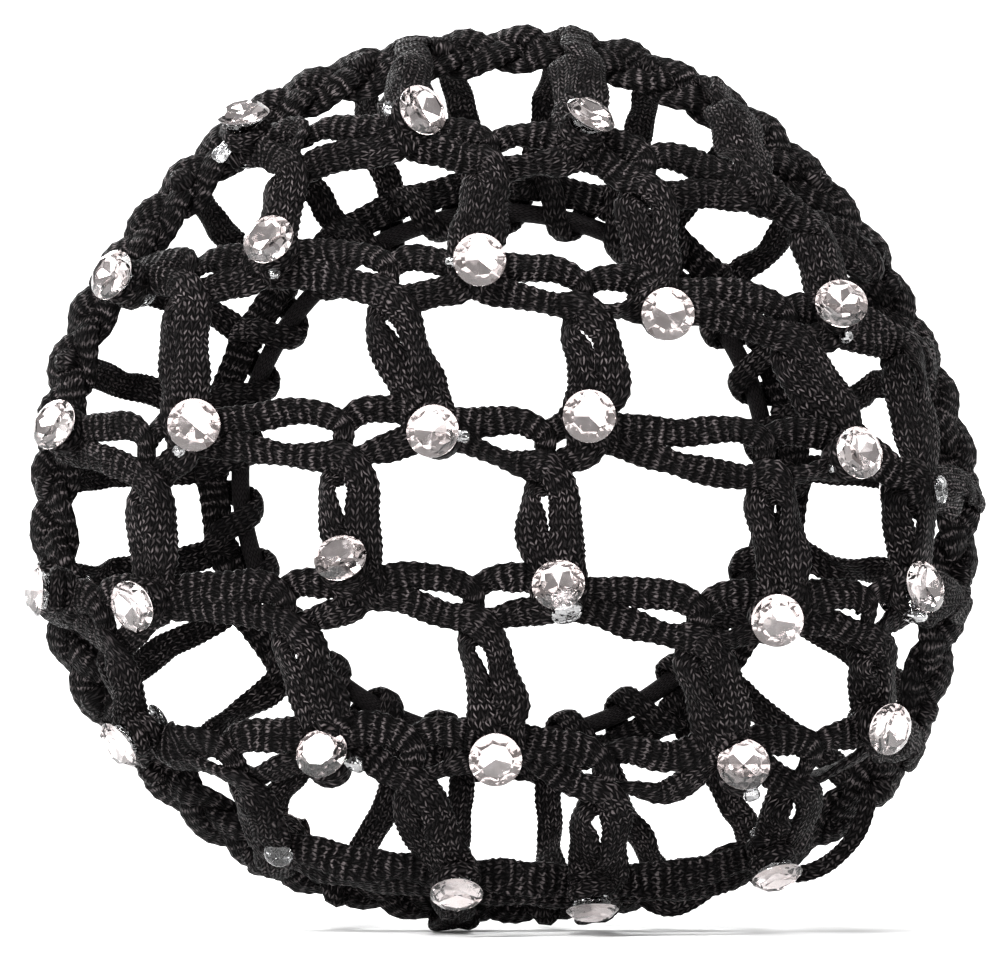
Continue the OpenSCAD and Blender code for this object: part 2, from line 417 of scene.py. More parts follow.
@dataclass(frozen=True)
class Stop:
    """A place that a run of tape passes, in mm, with the way that its face looks there."""

    at: Vector
    face: Vector
    width: float = 1.0
    gather: float = 0.0


@dataclass(frozen=True)
class Sample(Stop):
    """A place on the smooth run: the length of the run up to it, and the way that the tape's width lies."""

    run: float = 0.0
    side: Vector | None = None


@dataclass(frozen=True)
class Turn:
    """A stop of a tape that winds about something.

    It lies some mm ahead along the tape's way and some mm out of the form. The tip is the degrees by
    which its face turns towards the way, and the width is a share.
    """

    ahead: float
    lift: float
    tip: float = 0.0
    width: float = 1.0
    gather: float = 0.0


# Windings under a knot, over the edge round, out of it to the back, and round the hem
UNDER_KNOT = (Turn(1.5, -0.2, 90), Turn(0.8, -0.85, 135), Turn(-0.9, -0.95, 180))
OVER_EDGE = (
    Turn(0.8, -1.2, 180),
    Turn(-1.6, -1.1, 225, 0.9),
    Turn(-2.4, 0.1, 270, 0.85, 0.3),
    Turn(-1.2, 1.0, 315, 0.85, 0.3),
)
OUT_OF_EDGE = (
    Turn(1.2, -0.9, 180),
    Turn(-1.4, -0.6, 225),
    Turn(-2.2, 0.2, 270),
    Turn(-1.2, 1.2, 315),
    Turn(1.4, 1.0),
)
ROUND_HEM = (
    Turn(-1.2, 0.7),
    Turn(1.0, 0.8, 45),
    Turn(2.0, 0.0, 90),
    Turn(1.0, -0.8, 135),
    Turn(-0.8, -0.8, 180),
)


def stop(
    chart: Vector,
    lift: float,
    width: float = 1.0,
    gather: float = 0.0,
    tip: float = 0.0,
    way: Vector | None = None,
) -> Stop:
    """A stop on the form.

    Args:
        chart: its place in the chart.
        lift: mm out of the form.
        width: share of the tape's width.
        gather: how far the stitches are drawn together.
        tip: degrees by which the tape's face turns from straight out towards the way.
        way: a direction in the chart.

    Returns:
        The stop.
    """
    out = FORM.outward(chart)
    face = out
    if tip and way is not None:
        angle = math.radians(tip)
        face = out * math.cos(angle) + FORM.along(chart, way) * math.sin(angle)
    return Stop(FORM.point(chart) + out * lift, face, width, gather)


def wound(chart: Vector, way: Vector, turns: Iterable[Turn]) -> list[Stop]:
    """The stops of a tape that winds about a place in the chart, along a way."""
    return [stop(FORM.shift(chart, (way, t.ahead)), t.lift, t.width, t.gather, t.tip, way) for t in turns]


@dataclass
class Tape:
    """A run of flat knitted tape, a flattened tube with curled edges. Sizes are in mm, turns in degrees.

    The wander, roll and squeeze are the unevenness of hand work. Teeth are the small steps of the stitches
    along its edges, and ribs the folds where it is gathered, as shares of its half width and half thickness.
    """

    stops: list[Stop]
    width: float
    thickness: float
    hold: Hold
    closed: bool = False
    seed: float = 0.0
    step: float = 0.36
    fine_step: float = 0.25
    around: int = 12
    wander: float = 0.3
    lift_share: float = 0.6
    roll: float = 50.0
    squeeze: float = 0.14
    closed_share: float = 0.35
    rib: float = 1.05
    tooth: tuple[float, float] = (0.045, 0.07)
    ribs: tuple[float, float] = (0.06, 0.16)
    blunt: tuple[float, float] = (0.6, 0.8)
    end_share: float = 0.18
    end_rate: float = 0.27

    def _tangents(self) -> list[Vector]:
        """Finds the run's direction and speed at each stop, for a smooth curve through uneven stops.

        Returns:
            The directions, whose lengths are the speeds.
        """
        count = len(self.stops)
        found = []
        for i, here in enumerate(self.stops):
            back = here.at - self.stops[(i - 1) % count].at if self.closed or i else None
            ahead = self.stops[(i + 1) % count].at - here.at if self.closed or i < count - 1 else None
            if back is None or ahead is None:
                found.append((ahead or back).normalized())
                continue
            low, high = max(back.length, 1e-6), max(ahead.length, 1e-6)
            found.append((back / low * high + ahead / high * low) / (low + high))
        return found

    def _dense(self) -> list[Sample]:
        """Finds closely spaced samples of the smooth curve.

        Returns:
            The samples, without their sides.
        """
        tangents, count = self._tangents(), len(self.stops)
        spans = count if self.closed else count - 1
        samples: list[Sample] = []
        for i in range(spans):
            a, b = self.stops[i], self.stops[(i + 1) % count]
            gap = (b.at - a.at).length
            parts = max(4, math.ceil(gap / self.fine_step))
            for k in range(parts + (i == spans - 1)):
                t = k / parts
                ease = 3 * t**2 - 2 * t**3
                at = a.at * (2 * t**3 - 3 * t**2 + 1) + tangents[i] * gap * (t**3 - 2 * t**2 + t)
                at += b.at * ease
                at += tangents[(i + 1) % count] * gap * (t**3 - t**2)
                run = samples[-1].run + (at - samples[-1].at).length if samples else 0.0
                width = a.width + (b.width - a.width) * ease
                gather = a.gather + (b.gather - a.gather) * ease
                samples.append(Sample(at, a.face.lerp(b.face, ease), width, gather, run))
        return samples

    def _rings(self) -> list[Sample]:
        """Finds evenly spaced samples with their sides, an even number of steps apart.

        Returns:
            The samples.
        """
        dense = self._dense()
        total, last = dense[-1].run, len(dense) - 2
        count = max(4, 2 * round(total / self.step / 2))
        rings = []
        j = 0
        for i in range(count + 1):
            want = total * i / count
            while j < last and dense[j + 1].run < want:
                j += 1
            a, b = dense[j], dense[j + 1]
            t = (want - a.run) / max(b.run - a.run, 1e-6)
            along = (dense[j + 2].at - dense[j - 1].at if 0 < j < last else b.at - a.at).normalized()
            side = a.face.lerp(b.face, t).cross(along)
            if side.length < 1e-4:
                side = along.orthogonal()
            side.normalize()
            width, gather = a.width + (b.width - a.width) * t, a.gather + (b.gather - a.gather) * t
            rings.append(Sample(a.at.lerp(b.at, t), along.cross(side), width, gather, want, side))
        return rings

    def build(self, bm: BMesh) -> None:
        """Adds the run to a bmesh, in mm.

        Args:
            bm: the mesh that takes it, with a UV layer and a gather layer.
        """
        rings, section = self._rings(), self._section()
        count = len(rings) - 1
        uv = bm.loops.layers.uv.get("tape") or bm.loops.layers.uv.new("tape")
        gather = bm.verts.layers.float.get("gather") or bm.verts.layers.float.new("gather")
        verts = bmesh.ops.create_grid(bm, x_segments=count, y_segments=self.around, size=1.0)["verts"]
        seam: list[BMVert] = []
        ends: list[BMVert] = []
        for vert in verts:
            i = round((vert.co.x + 1) / 2 * count)
            j = round((vert.co.y + 1) / 2 * self.around)
            x, z, length = section[j]
            taper = 1.0 if self.closed else min(1.0, self.end_share + self.end_rate * min(i, count - i))
            vert.co = self._surface(rings[i], (-1) ** i, x, z, taper)
            vert[gather] = max(rings[i].gather, self.hold.gather)
            for loop in vert.link_loops:
                loop[uv].uv = (length + self.seed, rings[i].run + self.seed)
            if j in (0, self.around):
                seam.append(vert)
            if i in (0, count):
                ends.append(vert)
        bmesh.ops.remove_doubles(bm, verts=list({*seam, *(ends if self.closed else [])}), dist=1e-3)
        if not self.closed:
            rims = {edge for vert in ends if vert.is_valid for edge in vert.link_edges if edge.is_boundary}
            bmesh.ops.holes_fill(bm, edges=list(rims), sides=0)

    def _surface(self, ring: Sample, even: int, x: float, z: float, taper: float) -> Vector:
        """Finds a point of the tape's surface.

        Args:
            ring: where it is along the run.
            even: 1 or -1 for every other ring.
            x: share of half the width.
            z: share of half the thickness.
            taper: share of the full size that the tape has here.

        Returns:
            The point in mm.
        """
        place, side, face, tight = self._wandered(ring)
        rib = math.sin(CIRCLE * ring.run / self.rib)
        edge = 1 + self.tooth[0] * (1 - ring.gather) * even + self.ribs[0] * ring.gather * rib
        half = self.width / 2 * ring.width * edge * taper * tight
        thick = self.thickness / 2 * (1 + self.tooth[1] * even + self.ribs[1] * ring.gather * rib) * taper
        uneven = 0.6 + 0.5 * noise.noise(Vector((ring.run * 0.25, self.seed, 9.0)))
        curl = self.hold.curl * self.width * ring.width * uneven
        return place + side * x * half + face * (z * thick - x * x * curl)

    def _wandered(self, ring: Sample) -> tuple[Vector, Vector, Vector, float]:
        """Gives a ring the unevenness of hand work.

        Args:
            ring: a place on the even run.

        Returns:
            Its place, side, face and tightness.
        """
        loose = self.closed_share if self.closed else 1.0
        where = (ring.at * 0.22 + Vector((self.seed * 3.1, 40.0 * k, 0)) for k in range(4))
        sway, lift, tight, turn = (noise.noise(place) for place in where)
        place = ring.at + ring.side * sway * self.wander * loose
        place += ring.face * lift * self.wander * self.lift_share * loose
        angle = math.radians(self.roll) * turn * loose
        c, s = math.cos(angle), math.sin(angle)
        side, face = ring.side * c + ring.face * s, ring.face * c - ring.side * s
        return place, side, face, 1 + self.squeeze * tight * loose

    def _section(self) -> list[tuple[float, float, float]]:
        """Finds the outline across the run, a rounded oblong.

        Returns:
            Shares of half the width and half the thickness, and the length round in mm, for each point.
        """
        found = []
        length = 0.0
        last = None
        for j in range(self.around + 1):
            angle = CIRCLE * (j + 0.5) / self.around - math.pi
            c, s = math.cos(angle), math.sin(angle)
            x = math.copysign(abs(c) ** self.blunt[0], c)
            z = math.copysign(abs(s) ** self.blunt[1], s)
            place = Vector((x * self.width / 2, z * self.thickness / 2))
            length += (place - last).length if last else 0.0
            last = place
            found.append((x, z, length))
        return found


# Shader nodes and finishes


class Graph:
    """Places and joins the nodes of a material or a group."""

    def __init__(self, tree: NodeTree) -> None:
        """Takes the tree that it works on."""
        self.tree = tree

    def node(self, kind: str, **settings: object) -> Node:
        """Makes a node.

        Args:
            kind: its type.
            settings: its own settings.

        Returns:
            The node.
        """
        made = self.tree.nodes.new(kind)
        for name, value in settings.items():
            setattr(made, name, value)
        return made

    def feed(self, socket: NodeSocket, value: object) -> None:
        """Joins a socket to another, or gives it a plain value.

        Args:
            socket: the input.
            value: an output socket, or a value.
        """
        if isinstance(value, NodeSocket):
            self.tree.links.new(value, socket)
        else:
            socket.default_value = value

    def fill(self, made: Node, values: dict[str | int, object]) -> Node:
        """Feeds the inputs of a node.

        Args:
            made: the node.
            values: an output socket or a value for each input, by its name or number.

        Returns:
            The same node.
        """
        for name, value in values.items():
            self.feed(made.inputs[name], value)
        return made

    def math(self, operation: str, *values: Value, clamp: bool = False) -> NodeSocket:
        """The result of a Math node, kept from 0 to 1 if clamp is set."""
        made = self.node("ShaderNodeMath", operation=operation, use_clamp=clamp)
        return self.fill(made, dict(enumerate(values))).outputs[0]

    def times(self, first: Value, second: Value) -> NodeSocket:
        """The product of two values."""
        return self.math("MULTIPLY", first, second)

    def wave(self, value: Value) -> NodeSocket:
        """The sine of a value, with its first half wave from 0 to 1."""
        return self.math("SINE", self.times(value, math.pi))

    def smooth(self, value: Value, low: float, high: float) -> NodeSocket:
        """A soft step from 0 at low to 1 at high."""
        made = self.node("ShaderNodeMapRange", interpolation_type="SMOOTHSTEP")
        return self.fill(made, {"Value": value, "From Min": low, "From Max": high}).outputs["Result"]

    def mix(self, share: Value, low: object, high: object) -> NodeSocket:
        """A colour between two colours."""
        return self.fill(self.node("ShaderNodeMix", data_type="RGBA"), {0: share, 6: low, 7: high}).outputs[2]

    def noise(self, vector: NodeSocket, scale: Value, detail: float = 2.0) -> NodeSocket:
        """The value of a noise texture."""
        made = self.node("ShaderNodeTexNoise")
        return self.fill(made, {"Vector": vector, "Scale": scale, "Detail": detail}).outputs["Fac"]

    def joined(self, *values: Value) -> NodeSocket:
        """A vector of two or three values."""
        return self.fill(self.node("ShaderNodeCombineXYZ"), dict(enumerate(values))).outputs[0]

    def apart(self, vector: NodeSocket) -> list[NodeSocket]:
        """The three values of a vector."""
        return list(self.fill(self.node("ShaderNodeSeparateXYZ"), {0: vector}).outputs)

    def speck(self, *values: Value) -> NodeSocket:
        """A random value for each combination of whole numbers."""
        made = self.node("ShaderNodeTexWhiteNoise", noise_dimensions="3D")
        return self.fill(made, {"Vector": self.joined(*values)}).outputs["Value"]

    def bump(self, height: NodeSocket, distance: float) -> NodeSocket:
        """The normal of a bump, with its depth in metres."""
        made = self.node("ShaderNodeBump")
        return self.fill(made, {"Strength": 1.0, "Distance": distance, "Height": height}).outputs["Normal"]

    def place(self) -> NodeSocket:
        """The object's own coordinates."""
        return self.node("ShaderNodeTexCoord").outputs["Object"]

    def use(self, group: ShaderNodeTree, **values: Value) -> bpy.types.NodeOutputs:
        """The outputs of a group that is fed with values by name."""
        return self.fill(self.node("ShaderNodeGroup", node_tree=group), values).outputs


@dataclass
class EffectGroup:
    """A shader node group that finishes share, with a Vector and named numbers in and numbers out."""

    name: str
    inputs: dict[str, float]
    outputs: tuple[str, ...]
    tree: ShaderNodeTree | None = None

    def build(self) -> ShaderNodeTree:
        """Builds the group once and keeps it.

        Returns:
            The group.
        """
        if self.tree is None:
            self.tree = bpy.data.node_groups.new(self.name, "ShaderNodeTree")
            sockets = self.tree.interface.new_socket
            sockets("Vector", in_out="INPUT", socket_type="NodeSocketVector")
            for name, value in self.inputs.items():
                sockets(name, in_out="INPUT", socket_type="NodeSocketFloat").default_value = value
            for name in self.outputs:
                sockets(name, in_out="OUTPUT", socket_type="NodeSocketFloat")
            graph = Graph(self.tree)
            made = self.wire(graph, graph.node("NodeGroupInput").outputs)
            graph.fill(graph.node("NodeGroupOutput"), made)
        return self.tree

    def wire(self, g: Graph, given: bpy.types.NodeOutputs) -> dict[str, NodeSocket]:
        """Each kind of group joins its own nodes here, and gives its outputs by name."""
        raise NotImplementedError


@dataclass
class KnitGroup(EffectGroup):
    """The loops of a knit, columns of small V stitches along the tape that are drawn into ribs in places.

    Its inputs are in mm. A step is where a soft step starts and ends. Its Shade is painted shade, low in the
    gaps between the loops and in the rib grooves. Its Glint is painted highlights, pale dashes on the loops
    and pale lines on the rib crests.
    """

    loose_scale: float = 0.5
    sway: float = 0.9
    slip: float = 1.7
    slant: float = 0.85
    crest_power: float = 0.8
    flank_power: float = 0.6
    streak_power: float = 0.25
    groove_power: float = 1.5
    groove_depth: float = 0.9
    ridge_height: float = 0.4
    ridge_share: float = 0.8
    gathered_loss: float = 0.6
    lit_step: tuple[float, float] = (0.15, 0.95)
    dash_step: tuple[float, float] = (0.74, 0.98)
    line_lean: tuple[float, float] = (0.2, 0.45)
    line_step: tuple[float, float] = (0.04, 0.16)
    ridge_step: tuple[float, float] = (0.1, 0.65)
    shade_step: tuple[float, float] = (0.15, 0.8)

    def wire(self, g: Graph, given: bpy.types.NodeOutputs) -> dict[str, NodeSocket]:
        """Joins the nodes.

        Args:
            g: the group's graph.
            given: the sockets that it takes.

        Returns:
            Its Height; its Shade, which is painted shade; and its Glint, which is painted highlights.
        """
        x, y = g.apart(given["Vector"])[:2]
        gather = given["Gather"]
        loose = g.math("SUBTRACT", g.noise(given["Vector"], self.loose_scale), 0.5)
        column = g.math("MULTIPLY_ADD", loose, self.sway, g.math("DIVIDE", x, given["Column"]))
        course = g.math("MULTIPLY_ADD", loose, self.slip, g.math("DIVIDE", y, given["Course"]))
        across = g.math("FRACT", column)
        away = g.times(g.math("ABSOLUTE", g.math("SUBTRACT", across, 0.5)), 2.0)
        leg = g.math("MULTIPLY_ADD", away, self.slant, course)
        crest = g.math("POWER", g.wave(g.math("FRACT", leg)), self.crest_power)
        flank = g.math("MAXIMUM", g.wave(away), 0.0)
        yarn = g.times(crest, g.math("POWER", flank, self.flank_power))

        # The rib grooves dent the Height and, through open_share, darken the Shade as painted shade and put
        # out the painted dashes.
        ribs = g.math("DIVIDE", y, given["Rib"])
        rib = g.math("FRACT", g.math("ADD", ribs, loose))
        groove = g.math("SUBTRACT", 1.0, g.wave(rib))
        drawn = g.times(g.math("POWER", groove, self.groove_power), gather)
        open_share = g.math("SUBTRACT", 1.0, drawn, clamp=True)

        # Painted highlights: pale dashes on the loop legs, each leg of random brightness.
        side = g.math("GREATER_THAN", across, 0.5)
        lit = g.smooth(g.speck(g.math("FLOOR", column), g.math("FLOOR", leg), side), *self.lit_step)
        streak = g.times(crest, g.math("POWER", flank, self.streak_power))
        painted_dash = g.times(g.smooth(streak, *self.dash_step), g.times(lit, open_share))

        # Painted highlights along the rib crests, broken into short pieces; they also rise a little in the
        # Height.
        crooked = g.math("MULTIPLY_ADD", away, *self.line_lean)
        near = g.math("ABSOLUTE", g.math("SUBTRACT", rib, crooked))
        line = g.math("SUBTRACT", 1.0, g.smooth(near, *self.line_step))
        half_column = g.math("FLOOR", g.times(column, 2.0))
        broken = g.smooth(g.speck(half_column, g.math("FLOOR", ribs), 3.0), *self.ridge_step)
        stacked = g.times(g.times(line, g.smooth(flank, *self.ridge_step)), self.ridge_share)
        crest_bump_and_highlight = g.times(stacked, g.times(broken, gather))

        height = g.math("MULTIPLY_ADD", drawn, -self.groove_depth, yarn)
        dimmed = g.times(painted_dash, g.math("MULTIPLY_ADD", gather, -self.gathered_loss, 1.0))
        return {
            "Height": g.math("ADD", height, g.times(crest_bump_and_highlight, self.ridge_height)),
            "Shade": g.times(g.smooth(yarn, *self.shade_step), open_share),
            "Glint": g.math("MAXIMUM", dimmed, crest_bump_and_highlight),
        }


@dataclass
class HandlingGroup(EffectGroup):
    """Faint smudges and hairline marks on hard clear pieces."""

    smudge_step: tuple[float, float] = (0.4, 0.75)

    def wire(self, g: Graph, given: bpy.types.NodeOutputs) -> dict[str, NodeSocket]:
        """Joins the nodes.

        Args:
            g: the group's graph.
            given: the sockets that it takes.

        Returns:
            Its Roughness and Height.
        """
        cloud = g.noise(given["Vector"], given["Scale"])
        span = g.math("SUBTRACT", given["High"], given["Low"])
        return {
            "Roughness": g.math("MULTIPLY_ADD", g.smooth(cloud, *self.smudge_step), span, given["Low"]),
            "Height": cloud,
        }


KNIT = KnitGroup(
    "knit_loops", {"Column": 0.5, "Course": 0.72, "Rib": 1.0, "Gather": 0.0}, ("Height", "Shade", "Glint")
)
HANDLING = HandlingGroup(
    "handling_marks", {"Scale": 900.0, "Low": 0.02, "High": 0.12}, ("Roughness", "Height")
)


def dressed(name: str) -> tuple[Material, Graph, Node]:
    """Makes a material.

    Args:
        name: its name.

    Returns:
        The material, its graph and its Principled BSDF.
    """
    material = bpy.data.materials.new(name)
    material.use_nodes = True
    return material, Graph(material.node_tree), material.node_tree.nodes["Principled BSDF"]


@dataclass(frozen=True)
class KnitFinish:
    """Glossy black knitted tape. Its loops show as short pale dashes, painted highlights in the base colour,
    and the gaps between them and the grooves of its ribs are darkened as painted shade. Sizes are in mm.
    """

    name: str = "black_knit_tape"
    column: float = 0.76
    course: float = 0.68
    rib: float = 1.05
    # deep is painted shade in the gaps between loops and in the rib grooves; yarn is the loops' own black
    deep: Colour = (0.0006, 0.0005, 0.0005, 1)
    yarn: Colour = (0.0045, 0.0038, 0.004, 1)
    # glint is the colour of the painted highlights, the pale dashes and rib crest lines
    glint: Colour = (0.13, 0.112, 0.114, 1)
    relief: float = 0.16
    patch_scale: float = 260.0
    patch_step: tuple[float, float] = (0.3, 0.75)
    patch_light: tuple[float, float] = (0.8, 0.35)
    roughness: tuple[float, float] = (-0.28, 0.66)
    specular: float = 0.04

    def build(self) -> Material:
        """Builds the material from the tape's own UV map, in mm.

        Returns:
            The material.
        """
        material, g, shader = dressed(self.name)
        knit = g.use(
            KNIT.build(),
            Vector=g.node("ShaderNodeUVMap", uv_map="tape").outputs["UV"],
            Column=self.column,
            Course=self.course,
            Rib=self.rib,
            Gather=g.node("ShaderNodeAttribute", attribute_name="gather").outputs["Fac"],
        )
        # Painted shade: the deep colour where Shade is low, in the gaps and rib grooves
        body = g.mix(knit["Shade"], self.deep, self.yarn)
        # Painted highlights: the glint colour on the dashes and crests, brighter and dimmer in patches
        patch = g.smooth(g.noise(g.place(), self.patch_scale), *self.patch_step)
        shine = g.times(knit["Glint"], g.math("MULTIPLY_ADD", patch, *self.patch_light))
        look = {
            "Base Color": g.mix(shine, body, self.glint),
            "Roughness": g.math("MULTIPLY_ADD", knit["Shade"], *self.roughness),
            "Specular IOR Level": self.specular,
            "Normal": g.bump(knit["Height"], self.relief * MM),
        }
        g.fill(shader, look)
        return material


@dataclass(frozen=True)
class BraidFinish:
    """The braided cover of the elastic, a ring about Y. Sizes are in mm."""

    name: str = "black_braid"
    ring: float = ELASTIC_RADIUS
    cord: float = 0.9
    column: float = 0.35
    course: float = 0.55
    deep: Colour = (0.0008, 0.0007, 0.0008, 1)
    yarn: Colour = (0.014, 0.012, 0.0125, 1)
    relief: float = 0.1
    roughness: tuple[float, float] = (-0.2, 0.75)
    specular: float = 0.05

    def build(self) -> Material:
        """Builds the material from Object coordinates, with the ring's own turn as the run of the braid.

        Returns:
            The material.
        """
        material, g, shader = dressed(self.name)
        x, y, z = g.apart(g.place())
        turn = g.math("ARCTAN2", z, x)
        out = g.math("SQRT", g.math("ADD", g.math("POWER", x, 2.0), g.math("POWER", z, 2.0)))
        about = g.math("ARCTAN2", y, g.math("SUBTRACT", out, self.ring * MM))
        place = g.joined(g.times(about, self.cord), g.times(turn, self.ring))
        knit = g.use(KNIT.build(), Vector=place, Column=self.column, Course=self.course, Gather=0.0)
        look = {
            # Painted shade: the deep colour in the gaps between the braid's loops, the yarn colour on the
            # loops
            "Base Color": g.mix(knit["Shade"], self.deep, self.yarn),
            "Roughness": g.math("MULTIPLY_ADD", knit["Shade"], *self.roughness),
            "Specular IOR Level": self.specular,
            "Normal": g.bump(knit["Height"], self.relief * MM),
        }
        g.fill(shader, look)
        return material


@dataclass(frozen=True)
class ClearFinish:
    """Clear hard material, with faint marks from handling and the lumps of a melt, both in mm of depth."""

    name: str
    colour: Colour = (1.0, 1.0, 1.0, 1)
    ior: float = 1.52
    rough: float = 0.01
    worn: float = 0.08
    relief: float = 0.004
    lumps: float = 0.0
    glint: float = 0.0
    marked_share: float = 0.93
    lump_scale: float = 900.0

    def build(self) -> Material:
        """Builds the material from Object coordinates.

        Returns:
            The material.
        """
        material, g, shader = dressed(self.name)
        place = g.place()
        marks = g.use(HANDLING.build(), Vector=place, Low=self.rough, High=self.worn)
        marked = tuple(self.marked_share * part for part in self.colour[:3]) + (1,)
        height = marks["Height"]
        if self.lumps:
            melt = g.noise(place, self.lump_scale, 1.0)
            height = g.math("MULTIPLY_ADD", melt, self.lumps / self.relief, height)
        look = {
            "Base Color": g.mix(marks["Height"], marked, self.colour),
            "Roughness": marks["Roughness"],
            "Transmission Weight": 1.0,
            "Metallic": self.glint,
            "IOR": self.ior,
            "Normal": g.bump(height, self.relief * MM),
        }
        g.fill(shader, look)
        return material


@dataclass(frozen=True)
class FoilFinish:
    """The silver backing of a stone."""

    name: str = "silver_backing"
    dull: Colour = (0.78, 0.72, 0.7, 1)
    bright: Colour = (0.93, 0.9, 0.9, 1)
    rough: float = 0.05
    worn: float = 0.14

    def build(self) -> Material:
        """Builds the material from Object coordinates.

        Returns:
            The material.
        """
        material, g, shader = dressed(self.name)
        marks = g.use(HANDLING.build(), Vector=g.place(), Low=self.rough, High=self.worn)
        colour = g.mix(marks["Height"], self.dull, self.bright)
        g.fill(shader, {"Base Color": colour, "Roughness": marks["Roughness"], "Metallic": 1.0})
        return material


@dataclass(frozen=True)
class FloorFinish:
    """Pale matt paper."""

    name: str = "pale_paper"
    low: Colour = (0.86, 0.86, 0.86, 1)
    high: Colour = (0.9, 0.9, 0.9, 1)
    fibre_scale: float = 40.0

    def build(self) -> Material:
        """Builds the material with a faint fibre.

        Returns:
            The material.
        """
        material, g, shader = dressed(self.name)
        fibre = g.noise(g.place(), self.fibre_scale, 4.0)
        g.fill(shader, {"Base Color": g.mix(fibre, self.low, self.high), "Roughness": 0.9})
        return material


# The pieces


def mesh_of(name: str, bm: BMesh, materials: Iterable[Material] = (), smooth: bool = False) -> Mesh:
    """Makes a mesh.

    Args:
        name: its name.
        bm: its faces, which are freed.
        materials: its materials in order.
        smooth: whether its faces are shaded smoothly.

    Returns:
        The mesh.
    """
    mesh = bpy.data.meshes.new(name)
    bm.to_mesh(mesh)
    bm.free()
    for material in materials:
        mesh.materials.append(material)
    mesh.polygons.foreach_set("use_smooth", [smooth] * len(mesh.polygons))
    return mesh


def linked(name: str, data: ID) -> Object:
    """Adds an object to the scene.

    Args:
        name: its name.
        data: its mesh, camera or light.

    Returns:
        The object.
    """
    made = bpy.data.objects.new(name, data)
    bpy.context.scene.collection.objects.link(made)
    return made


def spun(bm: BMesh, profile: list[tuple[float, float]], steps: int, merge: float) -> list[BMVert]:
    """Spins an outline about Z.

    Args:
        bm: the mesh that takes the shape.
        profile: radius and height of the outline's points.
        steps: how many parts the turn has.
        merge: points closer than this become one.

    Returns:
        The shape's vertices.
    """
    old = set(bm.verts)
    line = [bm.verts.new((r, 0, z)) for r, z in profile]
    geom = line + [bm.edges.new(pair) for pair in zip(line, line[1:])]
    bmesh.ops.spin(bm, geom=geom, cent=(0, 0, 0), axis=(0, 0, 1), angle=CIRCLE, steps=steps, use_merge=True)
    bmesh.ops.remove_doubles(bm, verts=[vert for vert in bm.verts if vert not in old], dist=merge)
    return [vert for vert in bm.verts if vert not in old]


def placed(at: Vector, axis: Vector) -> Matrix:
    """The matrix that turns Z to an axis and moves the origin to a place."""
    return Matrix.Translation(at) @ axis.to_track_quat("Z", "Y").to_matrix().to_4x4()


def finished(
    name: str, bm: BMesh, materials: list[Material], node: str, smooth: bool = True
) -> Object:
    """Makes a piece of a mesh in mm and sets it in the frame.

    Args:
        name: the piece's name.
        bm: its mesh, which is freed.
        materials: its materials in order.
        node: the CAD node that it stands for.
        smooth: whether its faces are shaded smoothly.

    Returns:
        The piece.
    """
    bmesh.ops.transform(bm, matrix=Matrix.Scale(MM, 4), verts=bm.verts)
    bmesh.ops.recalc_face_normals(bm, faces=bm.faces)
    piece = linked(name, mesh_of(name, bm, materials, smooth))
    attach(piece, BODY)
    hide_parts(node)
    log.info("%s: %d faces", name, len(piece.data.polygons))
    return piece


